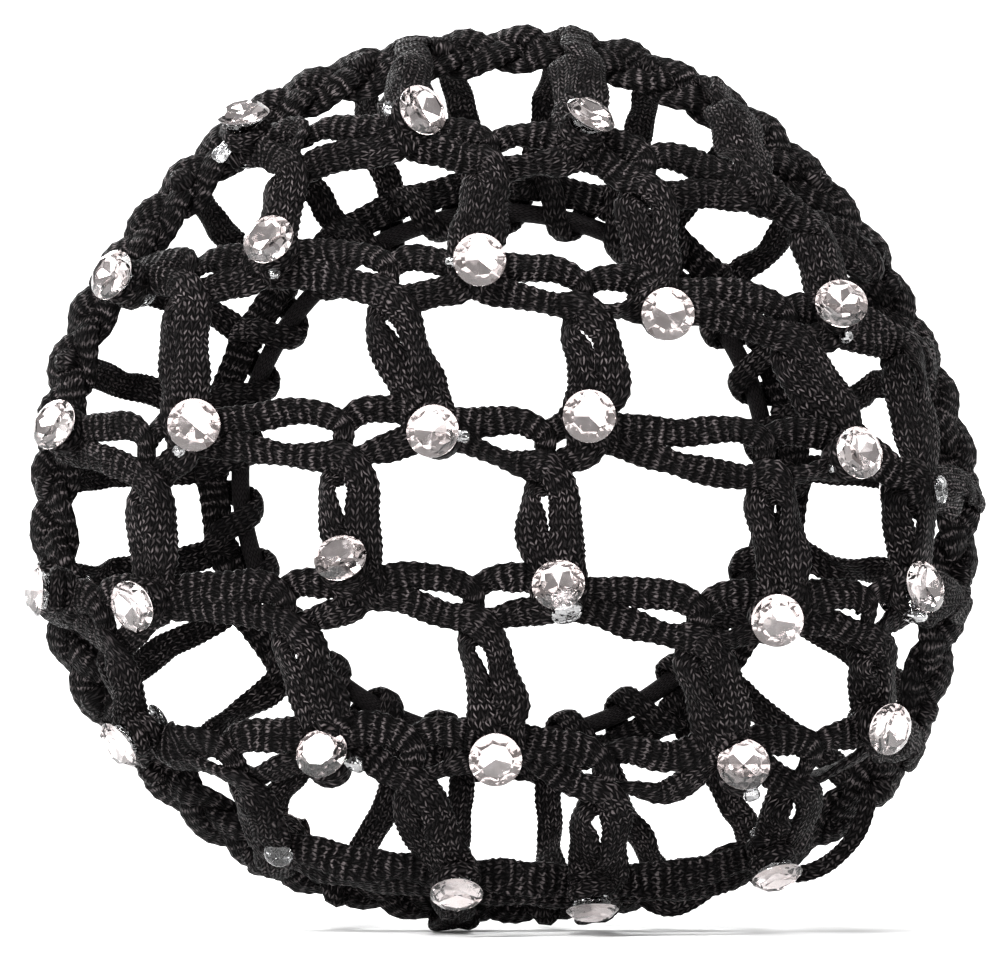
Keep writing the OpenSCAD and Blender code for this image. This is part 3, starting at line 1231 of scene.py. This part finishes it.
@dataclass
class Crochet:
    """What all parts of the net share: the tape, its sizes and its ways of being held.

    Sizes are in mm, turns in degrees. A band has a half length, a half depth, a lift and a width. The loops
    of a collar have a rise and a tilt. The room is the space that the tapes leave round a stone.
    """

    finish: Material
    seed: int = 0
    tape_width: float = 3.0
    post_width: float = 3.1
    thickness: float = 1.0
    post_turn: float = 24.0
    post_spread: tuple[float, float] = (0.75, 1.0)
    knot_turn: tuple[float, float] = (28.0, 48.0)
    outer_band: tuple[float, ...] = (2.2, 1.0, 0.05, 2.3)
    inner_band: tuple[float, ...] = (2.1, 0.9, -0.1, 2.4)
    band_stops: int = 10
    collar_radius: float = 1.85
    collar_flare: float = 0.12
    collar_lean: float = 0.15
    collar_width: float = 1.75
    collar_thickness: float = 0.8
    collar_loops: tuple[tuple[float, float], ...] = ((0.35, -0.4), (1.35, 0.3))
    collar_stops: int = 12
    stone_room: float = 1.0
    room_reach: float = 4.2
    room_slope: float = 0.3
    room_aside: float = 0.3
    tapes: list[Tape] = field(default_factory=list)
    chance: random.Random = field(init=False)

    def __post_init__(self) -> None:
        """Seeds the unevenness."""
        self.chance = random.Random(self.seed)

    def lay(
        self, stops: list[Stop], width: float, hold: Hold, thickness: float | None = None, **sizes: float
    ) -> None:
        """Adds a run of tape with a seed of its own.

        Args:
            stops: the places that it passes.
            width: its width.
            hold: how it is held.
            thickness: its thickness, if it isn't the usual one.
            sizes: the tape's other sizes.
        """
        seed = self.chance.uniform(0, SEED_RANGE)
        self.tapes.append(Tape(stops, width, thickness or self.thickness, hold, seed=seed, **sizes))

    def bind(
        self, chart: Vector, way: Vector, half: float, deep: float, lift: float, width: float, hold: Hold
    ) -> None:
        """Adds a closed band of tape round a bundle.

        Args:
            chart: the middle of the band.
            way: the direction in the chart in which the band reaches furthest.
            half: mm from its middle to its furthest point along the way.
            deep: mm from its middle to its outermost point.
            lift: mm of its middle out of the form.
            width: its width.
            hold: how it is held.
        """
        out, along = FORM.outward(chart), FORM.along(chart, way)
        middle = FORM.point(chart) + out * lift
        stops = []
        for k in range(self.band_stops):
            angle = CIRCLE * k / self.band_stops
            c, s = math.cos(angle), math.sin(angle)
            face = (along * c / half + out * s / deep).normalized()
            stops.append(Stop(middle + along * half * c + out * deep * s, face))
        self.lay(stops, width, hold, closed=True)

    def hooked(self, foot: Vector, way: Vector, aside: float, lift: float) -> list[Stop]:
        """The stops of a tape that comes down onto a knot and hooks under it.

        Args:
            foot: the knot in the chart.
            way: the direction in which the tape comes.
            aside: mm to the right of the knot.
            lift: mm out of the form where it goes over.

        Returns:
            The stops.
        """
        over = (Turn(-1.6, lift, gather=0.4), Turn(0.5, lift - 0.1, 40))
        return wound(FORM.shift(foot, (across_of(way), aside)), way, over + UNDER_KNOT)

    def post(
        self, clasp: Vector, foot: Vector, left: list[Stop], right: list[Stop], bow: float = 0.0
    ) -> None:
        """Lays the two tapes of a post from their own starts through a clasp and round a small eye to a knot.

        Args:
            clasp: where the two cross, in the chart.
            foot: the knot below.
            left: the stops of the tape from the left, which crosses in front and runs down on the right.
            right: the stops of the tape from the right, which crosses behind and runs down on the left.
            bow: mm by which the post lies to the right of a straight line.
        """
        way = (foot - clasp).normalized()
        side = across_of(way)
        hand = -1 if side.dot(Vector((1, 0.2))) < 0 else 1
        side = side * hand
        far = (foot - clasp).length * FORM.mm_per_degree
        middle = clasp.lerp(foot, 0.5)
        outward = side.dot(middle.normalized())
        slope = 1 / math.cos(math.radians(0.75 * middle.length)) - 1
        wide = self.chance.uniform(*self.post_spread) * (1 + slope * abs(outward))
        turn = -self.post_turn * math.sin(math.radians(middle.length)) * outward

        def at(down: float, aside: float) -> Vector:
            """A place at a share of the post's length, and mm to the right of it."""
            return FORM.shift(clasp, (way, far * down), (side, aside))

        left += [
            stop(at(-0.02, 0.2), 0.95, 1, 0.5, 8, way),
            stop(at(0.2, 1.65 * wide + 0.5 * bow), 0.75, 1.05, 0, 26 + turn, side),
            stop(at(0.42, 1.55 * wide + bow), 0.65, 1.1, 0, 24 + turn, side),
            stop(at(0.72, 1.35 + bow), 0.65, 1.15, 0, 14 + turn, side),
        ]
        right += [
            stop(at(0.03, 0.2), -0.5, 0.85),
            stop(at(0.17, -1.75 * wide + 0.5 * bow), 0.0, 0.95, 0, turn - 48, side),
            stop(at(0.36, -1.6 * wide + bow), 0.1, 1.05, 0, turn - 38, side),
            stop(at(0.62, -1.25 + bow), -0.05, 1.15, 0, turn - 26, side),
        ]
        self.lay(left + self.hooked(foot, way, hand * 1.05, 0.5), self.post_width, Hold.FLAT)
        self.lay(right + self.hooked(foot, way, hand * -1.1, 0.3), self.post_width, Hold.FLAT)

    def knot(self, middle: Vector, way: Vector) -> None:
        """Binds a joint with two crossing bands.

        Args:
            middle: the joint in the chart.
            way: the direction of the post or tie that comes into it.
        """
        turn = math.radians(self.chance.uniform(*self.knot_turn)) * self.chance.choice((-1, 1))
        c, s = math.cos(turn), math.sin(turn)
        slant = Vector((way.x * c - way.y * s, way.x * s + way.y * c))
        self.bind(middle, slant, *self.outer_band, Hold.ROLLED)
        self.bind(middle, across_of(slant), *self.inner_band, Hold.GATHERED)

    def collar(self, joint: Joint) -> None:
        """Lays two loops of tape round the stud of a joint's stone.

        Args:
            joint: the joint.
        """
        middle, axis = FORM.point(seat_of(joint)), joint.axis
        first = axis.orthogonal().normalized()
        second = axis.cross(first)
        for rise, tilt in self.collar_loops:
            radius = self.collar_radius + self.collar_flare * rise
            stops = []
            for k in range(self.collar_stops):
                angle = CIRCLE * k / self.collar_stops
                out = first * math.cos(angle) + second * math.sin(angle)
                place = middle + out * radius + axis * (rise + tilt * math.cos(angle))
                stops.append(Stop(place, (out - self.collar_lean * axis).normalized()))
            self.lay(stops, self.collar_width, Hold.ROLLED, self.collar_thickness, closed=True)

    def _make_room(self, bm: BMesh) -> None:
        """Presses the tapes aside where they would lie over a stone.

        Args:
            bm: the tapes in mm.
        """
        tree = KDTree(len(bm.verts))
        for i, vert in enumerate(bm.verts):
            tree.insert(vert.co, i)
        tree.balance()
        bm.verts.ensure_lookup_table()
        for joint in STONE_JOINTS:
            seat, axis = FORM.point(seat_of(joint)), joint.axis
            for place, i, _ in tree.find_range(seat + axis * Stud.lift, self.room_reach):
                high = (place - seat).dot(axis)
                out = place - seat - axis * high
                far = max(out.length, 1e-3)
                below = high - (Stud.lift - self.stone_room + self.room_slope * far)
                aside = Rhinestones.diameter / 2 + self.room_aside - far
                if below > 0 and aside > 0:
                    push = -axis * below if below < aside else out / far * aside
                    bm.verts[i].co = place + push

    def make(self, name: str) -> Object:
        """Makes one piece of all the tapes laid so far.

        Args:
            name: the piece's name.

        Returns:
            The piece.
        """
        bm = bmesh.new()
        for tape in self.tapes:
            tape.build(bm)
        self._make_room(bm)
        return finished(name, bm, [self.finish], "net")


@dataclass
class CrochetRow(Crochet):
    """One row: its upper strand, the lower strands that its posts draw down, the posts and the knots."""

    number: int = 0
    face_turn: float = 32.0

    def build(self) -> Object:
        """Builds the row.

        Returns:
            The row as one piece.
        """
        row = ROWS[self.number]
        charts = [joint_chart(joint) for joint in row.joints]
        if not row.spans:
            self._plain(charts)
        for i, span in enumerate(row.spans):
            foot = ROWS[self.number + 1].joints[i + row.under]
            self._span(span, charts[i], charts[i + 1], joint_chart(foot))
        for i, joint in enumerate(row.joints):
            way = charts[min(i + 1, len(charts) - 1)] - charts[max(i - 1, 0)]
            self.knot(charts[i], across_of(way))
            if joint.name:
                self.collar(joint)
        return self.make(f"crochet_row_{row.letter}")

    def _top(self, a: Vector, b: Vector, clasp: Vector) -> Vector:
        """Where a post goes over the upper strand of a span from a to b."""
        share = (clasp - a).dot(b - a) / (b - a).length_squared
        return a.lerp(b, min(max(share, 0.25), 0.75))

    def _plain(self, charts: list[Vector]) -> None:
        """Lays the strands of the last row, two tapes side by side through all its joints.

        Args:
            charts: the joints in the chart.
        """
        for aside in (-1.0, 1.0):
            stops = [stop(charts[0] - (charts[1] - charts[0]) * 0.15, 0)]
            for chart, after in zip(charts, charts[1:] + charts[-1:]):
                here = FORM.shift(chart, (DOWN, aside))
                stops.append(stop(here, 0.1 * aside, 1, 0.4, -self.face_turn, DOWN))
                if after != chart:
                    middle = FORM.shift(chart.lerp(after, 0.5), (DOWN, aside * 1.4))
                    tip = 18 * aside - 1.3 * self.face_turn
                    stops.append(stop(middle, 0.25 + 0.2 * aside, 1.15, 0.35, tip, DOWN))
            stops.append(stop(charts[-1] + (charts[-1] - charts[-2]) * 0.15, 0))
            self.lay(stops, self.tape_width, Hold.GATHERED)

    def _span(self, span: Span, a: Vector, b: Vector, foot: Vector) -> None:
        """Lays a span from a to b: an arc on either side, a short column, and two legs that become the post.

        Args:
            span: its clasp, where the legs cross under the column, and how its tape lies.
            a: the joint on the left.
            b: the joint on the right.
            foot: the knot of the next row.
        """
        clasp = FORM.chart_of(span.across, span.up)
        top = self._top(a, b, clasp)
        down = (clasp - top).normalized()
        top = FORM.shift(top, (down, span.dip))
        run = (b - a).normalized()
        right = b - clasp
        after = right.normalized()
        deep = (clasp - top).length * FORM.mm_per_degree
        rise = self.chance.uniform(-0.2, 0.2)
        turn = -self.face_turn * math.sin(math.radians(top.length)) * down.dot(top.normalized())
        tilt = self.chance.uniform(-12, 12) + turn
        sag = span.sag

        def by(chart: Vector, ahead: float, low: float) -> Vector:
            """A place mm ahead of another along the span, and mm below it."""
            return FORM.shift(chart, (run, ahead), (down, low))

        from_left = [
            stop(a - run * 1.8, -0.1),
            stop(a, 0.1, 1, 0.3),
            stop(by(a.lerp(top, 0.5), 0, -rise - span.rise), 0.25, 0.95, 1, tilt, down),
            stop(by(top, -1.5, -0.25), 0.5, 0.85, 1),
            stop(by(top, -0.1, 0.7), 0.6, 0.72, 0.6),
            stop(top.lerp(clasp, 0.7), 0.3, 0.66, 0.4),
            stop(by(clasp, 0, 0.6), 0.0, 0.66),
            stop(by(clasp, 0, 1.6), -0.6, 0.66),
        ]
        to_right = [
            stop(by(top, -0.9, 1.9), -0.65, 0.65),
            stop(by(top, 0.3, 0.5), -0.2, 0.75, 0.6),
            stop(by(top, 1.8, -0.45), 0.15, 0.85, 1),
            stop(by(top.lerp(b, 0.55), 0, -rise - span.right_rise), 0.25, 0.95, 1, turn * 2 - tilt, down),
            stop(b, 0.1, 1, 0.3),
            stop(b + run * 1.8, -0.1),
        ]
        for stops in (from_left, to_right):
            self.lay(stops, self.tape_width * span.width, Hold.GATHERED)
        middle = by(a.lerp(top, 0.45), 0, max(1.3, 0.5 * deep - 0.2) + sag)
        left_leg = [
            stop(by(a, 0, 0.9) - run * 0.6, -0.2),
            stop(by(a, 0, 1.3) + run * 1.8, -0.2, 1, 0.7, 10, down),
            stop(middle, 0.0, 0.97, 1, 22 + 12 * sag + 0.7 * turn, down),
            stop(by(top, -2.3, 0.76 * deep + 0.6 * sag), 0.35, 0.93, 1, 24 + 0.5 * turn, down),
        ]
        right_leg = [
            stop(by(b, 0, 0.8) + after * 0.8, -0.1),
            stop(by(b, 0, 1.6) - after * 1.2, 0.0, 1, 0, 15, down),
            stop(by(clasp + right * 0.55, 0, 1.2 + span.right_sag), -0.1, 0.96, 0.7, 34 + 0.7 * turn, down),
            stop(by(clasp + after * 3.6, 0, 0.8), -0.3, 0.92, 0.7, 42, down),
        ]
        self.post(clasp, foot, left_leg, right_leg, span.bow)


@dataclass
class EdgeRound(Crochet):
    """The round along the widest line, a plait of three tapes, and the ties to the rows.

    Reach and turns are in degrees, other sizes in mm.
    """

    reach: float = 93.0
    strands: int = 3
    repeats: int = 17
    stops_each: int = 8
    stop_step: float = 0.5
    sway: float = 1.9
    swell: float = 0.65
    lean: float = 38.0
    fullness: float = 1.12
    fall: float = 1.0
    fall_turn: float = 280.0
    tie_start: float = 0.3
    tie_aside: float = 1.1
    slack_width: float = 1.6
    slack_depth: float = 0.8
    slack_stops: int = 7
    slack_back: float = 4.0

    def build(self) -> Object:
        """Builds the round.

        Returns:
            The round as one piece.
        """
        for number in range(self.strands):
            self._strand(CIRCLE * number / self.strands)
        for turn, row, place in EDGE:
            edge = FORM.polar(turn, self.reach)
            joint = joint_chart(ROWS[row].joints[place])
            way = (joint - edge).normalized()
            left, right = (
                wound(FORM.shift(edge, (across_of(way), aside)), way, OVER_EDGE)
                for aside in (-self.tie_aside, self.tie_aside)
            )
            self.post(edge.lerp(joint, self.tie_start), joint, left, right)
        for first, last, lift in SLACK:
            self._slack(first, last, lift)
        return self.make("crochet_edge")

    def _slack(self, first: float, last: float, lift: float) -> None:
        """Lays a narrow tape that stands clear of the round.

        Args:
            first: its first turn, degrees from the right.
            last: its last turn.
            lift: mm out of the form where it stands out most.
        """
        stops = []
        for k in range(self.slack_stops):
            share = k / (self.slack_stops - 1)
            chart = FORM.polar(first + (last - first) * share, self.reach - self.slack_back)
            out = (lift + self.slack_depth) * math.sin(math.pi * share**0.8) - self.slack_depth
            stops.append(stop(chart, out, 1, 0, 30 + 60 * share, chart))
        self.lay(stops, self.slack_width, Hold.ROLLED)

    def _strand(self, start: float) -> None:
        """Lays one tape of the plait.

        Args:
            start: radians by which it is ahead in the plait.
        """
        c, s = math.cos(math.radians(self.lean)), math.sin(math.radians(self.lean))
        stops = []
        for k in range(self.repeats * self.stops_each):
            angle = CIRCLE * k / self.stops_each + start
            across, out = self.sway * math.sin(angle), self.swell * math.sin(2 * angle)
            turn = 360 * k / self.stops_each / self.repeats
            chart = FORM.polar(turn, self.reach)
            out -= self.fall * max(0.0, math.cos(math.radians(turn - self.fall_turn))) ** 3
            back, lift = across * c - out * s, across * s + out * c
            stops.append(stop(FORM.shift(chart, (chart, back)), lift, 1, 0.2, -self.lean, chart))
        width, thickness = self.tape_width * self.fullness, self.thickness * self.fullness
        self.lay(stops, width, Hold.GATHERED, thickness, closed=True, step=self.stop_step)


@dataclass
class BackTapes(Crochet):
    """The tapes of the back, each slanted the other way than the last, from the edge round to the hem."""

    count: int = 26
    slant: float = 0.1
    reach: float = 94.0
    narrowing: float = 0.92
    tip: float = 25.0

    def build(self) -> Object:
        """Builds the back.

        Returns:
            The back as one piece.
        """
        step = 360 / self.count
        for k in range(self.count):
            lean = step * self.slant * (1 if k % 2 == 0 else -1)
            start = FORM.polar(k * step - lean, self.reach)
            end = FORM.polar(k * step + lean, FORM.hem_reach)
            way = (end - start).normalized()
            stops = wound(start, way, OUT_OF_EDGE)
            for share, lift in ((0.35, 0.2), (0.7, 0.1)):
                tip = self.chance.uniform(-self.tip, self.tip)
                stops.append(stop(start.lerp(end, share), lift, 1, 0, tip, across_of(way)))
            stops += wound(end, way, ROUND_HEM)
            self.lay(stops, self.tape_width * self.narrowing, Hold.ROLLED)
        return self.make("crochet_back")


@dataclass
class Hem(Crochet):
    """The hem: one tape laid flat round the opening, and one wound round it and the elastic."""

    turns: int = 26
    flat_stops: int = 2
    wound_stops: int = 6
    middle_radius: float = FORM.hem_radius
    cord_radius: float = ELASTIC_RADIUS
    inset: float = 0.3
    zigzag: float = 0.1
    wound_half: float = 3.0
    wound_deep: float = 1.45
    wound_width: float = 2.4
    wound_thickness: float = 0.8
    flat_seed: float = 3.0
    wound_seed: float = 11.0

    def _out(self, k: int, each: int) -> Vector:
        """The way out of the middle at a stop, with each stops to a turn of the winding."""
        turn = math.radians(360 * k / self.turns / each)
        return Vector((math.cos(turn), 0, math.sin(turn)))

    def build(self) -> Object:
        """Builds the hem.

        Returns:
            The hem as one piece.
        """
        flat, loops = [], []
        for k in range(self.turns * self.flat_stops):
            place = self._out(k, self.flat_stops) * (self.middle_radius + self.zigzag * (-1) ** k)
            flat.append(Stop(place, Vector((0, 1, 0)), 1.0, 0.8))
        for k in range(self.turns * self.wound_stops):
            out = self._out(k, self.wound_stops)
            c, s = math.cos(CIRCLE * k / self.wound_stops), math.sin(CIRCLE * k / self.wound_stops)
            centre = out * (self.middle_radius + self.cord_radius - self.inset) / 2
            place = centre + out * self.wound_half * c + Vector((0, self.wound_deep * s, 0))
            face = out * c / self.wound_half + Vector((0, s / self.wound_deep, 0))
            loops.append(Stop(place, face.normalized(), 1.0, 0.4))
        self.tapes = [
            Tape(flat, self.tape_width, self.thickness, Hold.GATHERED, True, self.flat_seed),
            Tape(loops, self.wound_width, self.wound_thickness, Hold.FLAT, True, self.wound_seed),
        ]
        return self.make("crochet_hem")


@dataclass
class Rhinestones:
    """The round faceted stones, each a piece of its own with a silver backing.

    Sizes are in mm, angles in degrees from the table.
    """

    crystal: Material
    backing: Material
    diameter: float = 5.0
    crown: float = 0.9
    back: float = 0.85
    girdle: float = 0.1
    main_angle: float = 39.0
    star_angle: float = 25.0
    rim_angle: float = 47.0
    back_angle: float = 15.5
    lower_angle: float = 20.0
    sides: int = 8
    blank_sides: int = 64
    star_share: float = 0.985
    rim_share: float = 0.6
    lower_share: float = 0.2

    def build(self) -> list[Object]:
        """Builds every stone.

        Returns:
            The stones.
        """
        cut = self._cut_stone()
        stones = [self._stone(cut, joint) for joint in STONE_JOINTS]
        bpy.data.meshes.remove(cut)
        return stones

    def _facets(
        self, bm: BMesh, count: int, reach: float, height: float, angle: float, start: float = 0.0
    ) -> None:
        """Grinds a ring of facets, each a plane through a point of the stone.

        Args:
            bm: the stone.
            count: how many facets.
            reach: the point's distance from the axis.
            height: its height.
            angle: degrees between the facet and the table, negative for the underside.
            start: the first facet's turn in degrees.
        """
        slope = math.radians(abs(angle))
        for k in range(count):
            turn = math.radians(start + 360 * k / count)
            out = Vector((math.cos(turn), math.sin(turn), 0))
            made = bmesh.ops.bisect_plane(
                bm,
                geom=[*bm.verts, *bm.edges, *bm.faces],
                dist=1e-5,
                plane_co=out * reach + Vector((0, 0, height)),
                plane_no=out * math.sin(slope) + Vector((0, 0, math.copysign(math.cos(slope), angle))),
                clear_outer=True,
            )
            rim = [part for part in made["geom_cut"] if isinstance(part, BMEdge)]
            bmesh.ops.holes_fill(bm, edges=rim, sides=0)

    def _cut_stone(self) -> Mesh:
        """Grinds one stone out of a round blank: table, stars, mains, rim facets and a backed underside.

        Returns:
            Its mesh, with the backed faces in the second material.
        """
        bm = bmesh.new()
        radius, half, sides, girdle = self.diameter / 2, 180 / self.sides, self.sides, self.girdle
        middle = Matrix.Translation((0, 0, (self.crown - self.back) / 2))
        blank = {"radius1": radius, "radius2": radius, "depth": self.crown + self.back, "matrix": middle}
        bmesh.ops.create_cone(bm, cap_ends=True, segments=self.blank_sides, **blank)
        table = radius - (self.crown - girdle) / math.tan(math.radians(self.main_angle))
        star = table / math.cos(math.radians(half)) * self.star_share
        self._facets(bm, sides, radius, girdle, self.main_angle)
        self._facets(bm, sides, star, self.crown, self.star_angle, half)
        self._facets(bm, 2 * sides, radius, girdle * self.rim_share, self.rim_angle, half / 2)
        self._facets(bm, sides, radius, -girdle, -self.back_angle, half)
        self._facets(bm, 2 * sides, radius, -girdle * self.lower_share, -self.lower_angle, half / 2)
        for facet in bm.faces:
            facet.normal_update()
            facet.material_index = 1 if facet.normal.z < -0.5 else 0
        return mesh_of("cut_stone", bm)

    def _stone(self, cut: Mesh, joint: Joint) -> Object:
        """Sets one stone in its place.

        Args:
            cut: the ground stone.
            joint: the joint that it sits on.

        Returns:
            The stone.
        """
        bm = bmesh.new()
        bm.from_mesh(cut)
        turn = Matrix.Rotation(random.Random(joint.name).uniform(0, math.pi / 4), 4, "Z")
        centre = FORM.point(seat_of(joint)) + joint.axis * Stud.lift
        bmesh.ops.transform(bm, matrix=placed(centre, joint.axis) @ turn, verts=bm.verts)
        materials = [self.crystal, self.backing]
        return finished(f"crystal_{joint.name}", bm, materials, f"stone_{joint.name}", smooth=False)


@dataclass(frozen=True)
class Tail:
    """A drop of plastic drawn out of a stud: its stone, its degrees from the right, and its sizes in mm."""

    name: str
    turn: float
    reach: float
    width: float = 1.2
    rise: float = 0.3

    @property
    def way(self) -> Vector:
        """Its direction, seen from the front."""
        return Vector((math.cos(math.radians(self.turn)), 0, math.sin(math.radians(self.turn))))


TAILS = (
    Tail("a1", -132, 4.4, 1.5, 0.2),
    Tail("a2", 168, 3.3, 1.4, 0.2),
    Tail("b2", -85, 3.4, 1.4, 0.5),
    Tail("b3", -176, 3.2, 1.0, 1.2),
    Tail("b5", -77, 3.3, 1.4),
    Tail("c2", -120, 3.3, 1.2, 0.5),
    Tail("c3", -8, 3.5, 1.2, 0.9),
    Tail("c5", -151, 3.0, 1.1, 0.6),
    Tail("d4", -71, 3.4, 3.3, 1.7),
    Tail("d6", -104, 3.4, 2.4, 1.2),
    Tail("e2", -13, 4.0, 1.6, 0.5),
    Tail("e4", -71, 3.4, 1.6, 0.5),
)

# Outline of a drop: share of half its width, share of its length
DROP = ((0.95, 0.3), (0.88, 0.5), (0.88, 0.68), (1.0, 0.82), (0.92, 0.92), (0.55, 0.985))


@dataclass
class Stud:
    """The clear plastic studs that hold the stones: a domed foot inside the net, a stem and a cup, in mm."""

    plastic: Material
    drop: Material
    stem: float = 0.6
    foot: float = 1.4
    cup: float = 1.8
    plate_z: float = 1.45
    plate: float = 0.5
    slope: float = 0.48
    segments: int = 28
    merge: float = 1e-3
    lift: float = 3.3

    def _profile(self) -> list[tuple[float, float]]:
        """Finds the outline from the middle of the foot to the floor of the cup.

        Returns:
            Radius and height of its points.
        """
        z, t = self.plate_z, self.plate
        foot = ((0.2, 0.7), (0.32, 1), (0.6, 0.95), (0.9, 0.6), (1, 0.3))
        return [
            (0, -z - t * 0.75),
            *((self.foot * out, -z - t * deep) for out, deep in foot),
            (self.foot * 0.9, -z),
            (self.stem, -z + 0.05),
            (self.stem, z - 0.1),
            (self.foot * 0.85, z),
            (self.foot, z + 0.15),
            (self.cup, z + t + self.cup * self.slope - 0.12),
            (self.cup, z + t + self.cup * self.slope),
            (self.cup * 0.9, z + t + self.cup * 0.9 * self.slope),
            (0, z + t),
        ]

    def _add(self, bm: BMesh, profile: list[tuple[float, float]], place: Matrix) -> None:
        """Spins an outline and puts the shape in its place."""
        bmesh.ops.transform(bm, matrix=place, verts=spun(bm, profile, self.segments, self.merge))

    def _tail(self, bm: BMesh, joint: Joint, tail: Tail) -> None:
        """Adds the drawn-out drop of plastic that shows beside a stone.

        Args:
            bm: the studs.
            joint: the stone's joint.
            tail: the drop.
        """
        stud = set(bm.faces)
        middle = FORM.point(seat_of(joint)) + joint.axis * (self.plate_z + self.plate)
        tip = middle + tail.way * tail.reach + joint.axis * tail.rise
        far, half = (tip - middle).length, tail.width / 2
        profile = [(0, self.stem), *((half * share, far * along) for share, along in DROP), (0, far)]
        self._add(bm, profile, placed(middle, tip - middle))
        for face in set(bm.faces) - stud:
            face.material_index = 1

    def build(self) -> Object:
        """Builds every stud.

        Returns:
            The studs as one piece.
        """
        bm = bmesh.new()
        tails = {tail.name: tail for tail in TAILS}
        for joint in STONE_JOINTS:
            self._add(bm, self._profile(), placed(FORM.point(seat_of(joint)), joint.axis))
            if joint.name in tails:
                self._tail(bm, joint, tails[joint.name])
        return finished("clear_studs", bm, [self.plastic, self.drop], "studs")


# The studio


@dataclass(frozen=True)
class Lamp:
    """A square soft light: its place, its side in metres, its power in watts and the place it looks at."""

    name: str
    at: Point
    size: float
    power: float
    aim: Point = (0, -0.03, 0)


LAMPS = (
    Lamp("key", (-0.75, -0.9, 0.75), 0.6, 34),
    Lamp("fill", (0.9, -0.95, 0.1), 0.4, 8),
    Lamp("top", (0.1, -0.1, 1.4), 0.7, 26),
    Lamp("rim", (-0.5, 1.2, 0.6), 0.7, 10),
    Lamp("wall", (0, 2.0, 1.6), 1.4, 80, (0, 4.0, 0.3)),
)


@dataclass
class Studio:
    """The camera, a wide pale floor that curves up behind and at the sides and is open towards the camera,
    and soft lights. Sizes are in metres.
    """

    radius: float = 4.0
    bend: float = 1.0
    bend_steps: int = 8
    rim: float = 2.4
    segments: int = 96
    lip: float = 0.01
    open_before: float = -0.6
    pixel: float = 0.000095
    frame: tuple[int, int] = (1000, 956)
    middle: tuple[float, float] = (504, 476)
    sensor_mm: float = 36
    distance: float = 1.2
    plane: float = -0.034
    surroundings: float = 0.3

    def camera(self) -> Object:
        """Makes the camera at the photograph's viewing angle, level and straight on.

        Returns:
            The camera.
        """
        data = bpy.data.cameras.new("camera")
        data.sensor_width = self.sensor_mm
        data.lens = self.sensor_mm * self.distance / (self.frame[0] * self.pixel)
        made = linked("camera", data)
        across = (self.frame[0] / 2 - self.middle[0]) * self.pixel
        up = (self.middle[1] - self.frame[1] / 2) * self.pixel
        made.location = (across, self.plane - self.distance, up)
        made.rotation_euler = (math.pi / 2, 0, 0)
        bpy.context.scene.camera = made
        return made

    def floor(self, finish: Material, level: float) -> Object:
        """Makes the floor as a spun bowl that is open towards the camera.

        Args:
            finish: its material.
            level: its height.

        Returns:
            The floor.
        """
        bm = bmesh.new()
        flat, bend = self.radius - self.bend, self.bend
        arc = [math.pi / 2 * k / self.bend_steps for k in range(1, self.bend_steps + 1)]
        profile = [(0.0, level), (flat, level)]
        profile += [(flat + bend * math.sin(a), level + (bend - bend * math.cos(a))) for a in arc]
        profile.append((self.radius, level + self.rim))
        spun(bm, profile, self.segments, 1e-5)
        middles = {face: face.calc_center_median() for face in bm.faces}
        front = [face for face, at in middles.items() if at.z > level + self.lip and at.y < self.open_before]
        bmesh.ops.delete(bm, geom=front, context="FACES")
        bmesh.ops.recalc_face_normals(bm, faces=bm.faces)
        made = linked("floor", mesh_of("floor", bm, [finish], smooth=True))
        made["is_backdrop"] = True
        return made

    def lights(self) -> None:
        """Sets the pale surroundings and the softboxes."""
        world = bpy.data.worlds.new("studio")
        world.use_nodes = True
        colour, strength = world.node_tree.nodes["Background"].inputs[:2]
        colour.default_value = (1, 1, 1, 1)
        strength.default_value = self.surroundings
        bpy.context.scene.world = world
        bpy.context.scene.view_settings.view_transform = "Standard"
        for lamp in LAMPS:
            data = bpy.data.lights.new(lamp.name, "AREA")
            data.size, data.energy = lamp.size, lamp.power
            made = linked(lamp.name, data)
            made.location = lamp.at
            made.rotation_euler = (Vector(lamp.aim) - Vector(lamp.at)).to_track_quat("-Z", "Y").to_euler()


def main() -> None:
    """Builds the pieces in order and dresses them."""
    logging.basicConfig(level=logging.INFO, format="%(name)s %(message)s", force=True)
    studio = Studio()
    studio.camera()
    studio.lights()

    tape = KnitFinish().build()
    for number in range(len(ROWS)):
        CrochetRow(tape, ROW_SEED + number, number=number).build()
    EdgeRound(tape, EDGE_SEED).build()
    BackTapes(tape, BACK_SEED).build()
    Hem(tape).build()

    crystal = ClearFinish("clear_crystal", (1.0, 0.96, 0.965, 1), 1.55).build()
    Rhinestones(crystal, FoilFinish().build()).build()
    melt = {"ior": 1.49, "worn": 0.04, "relief": 0.02}
    plastic = ClearFinish("clear_plastic", (0.97, 0.98, 0.99, 1), lumps=0.7, glint=0.04, **melt).build()
    drop = ClearFinish("clear_drop", (0.97, 0.97, 0.98, 1), lumps=0.9, glint=0.26, **melt).build()
    Stud(plastic, drop).build()

    elastic = frame["nodes"]["elastic"]
    elastic.data.materials.clear()
    elastic.data.materials.append(BraidFinish().build())
    log.info("elastic: the CAD ring, dressed")

    studio.floor(FloorFinish().build(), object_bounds()[0][2])


if __name__ == "__main__":
    main()
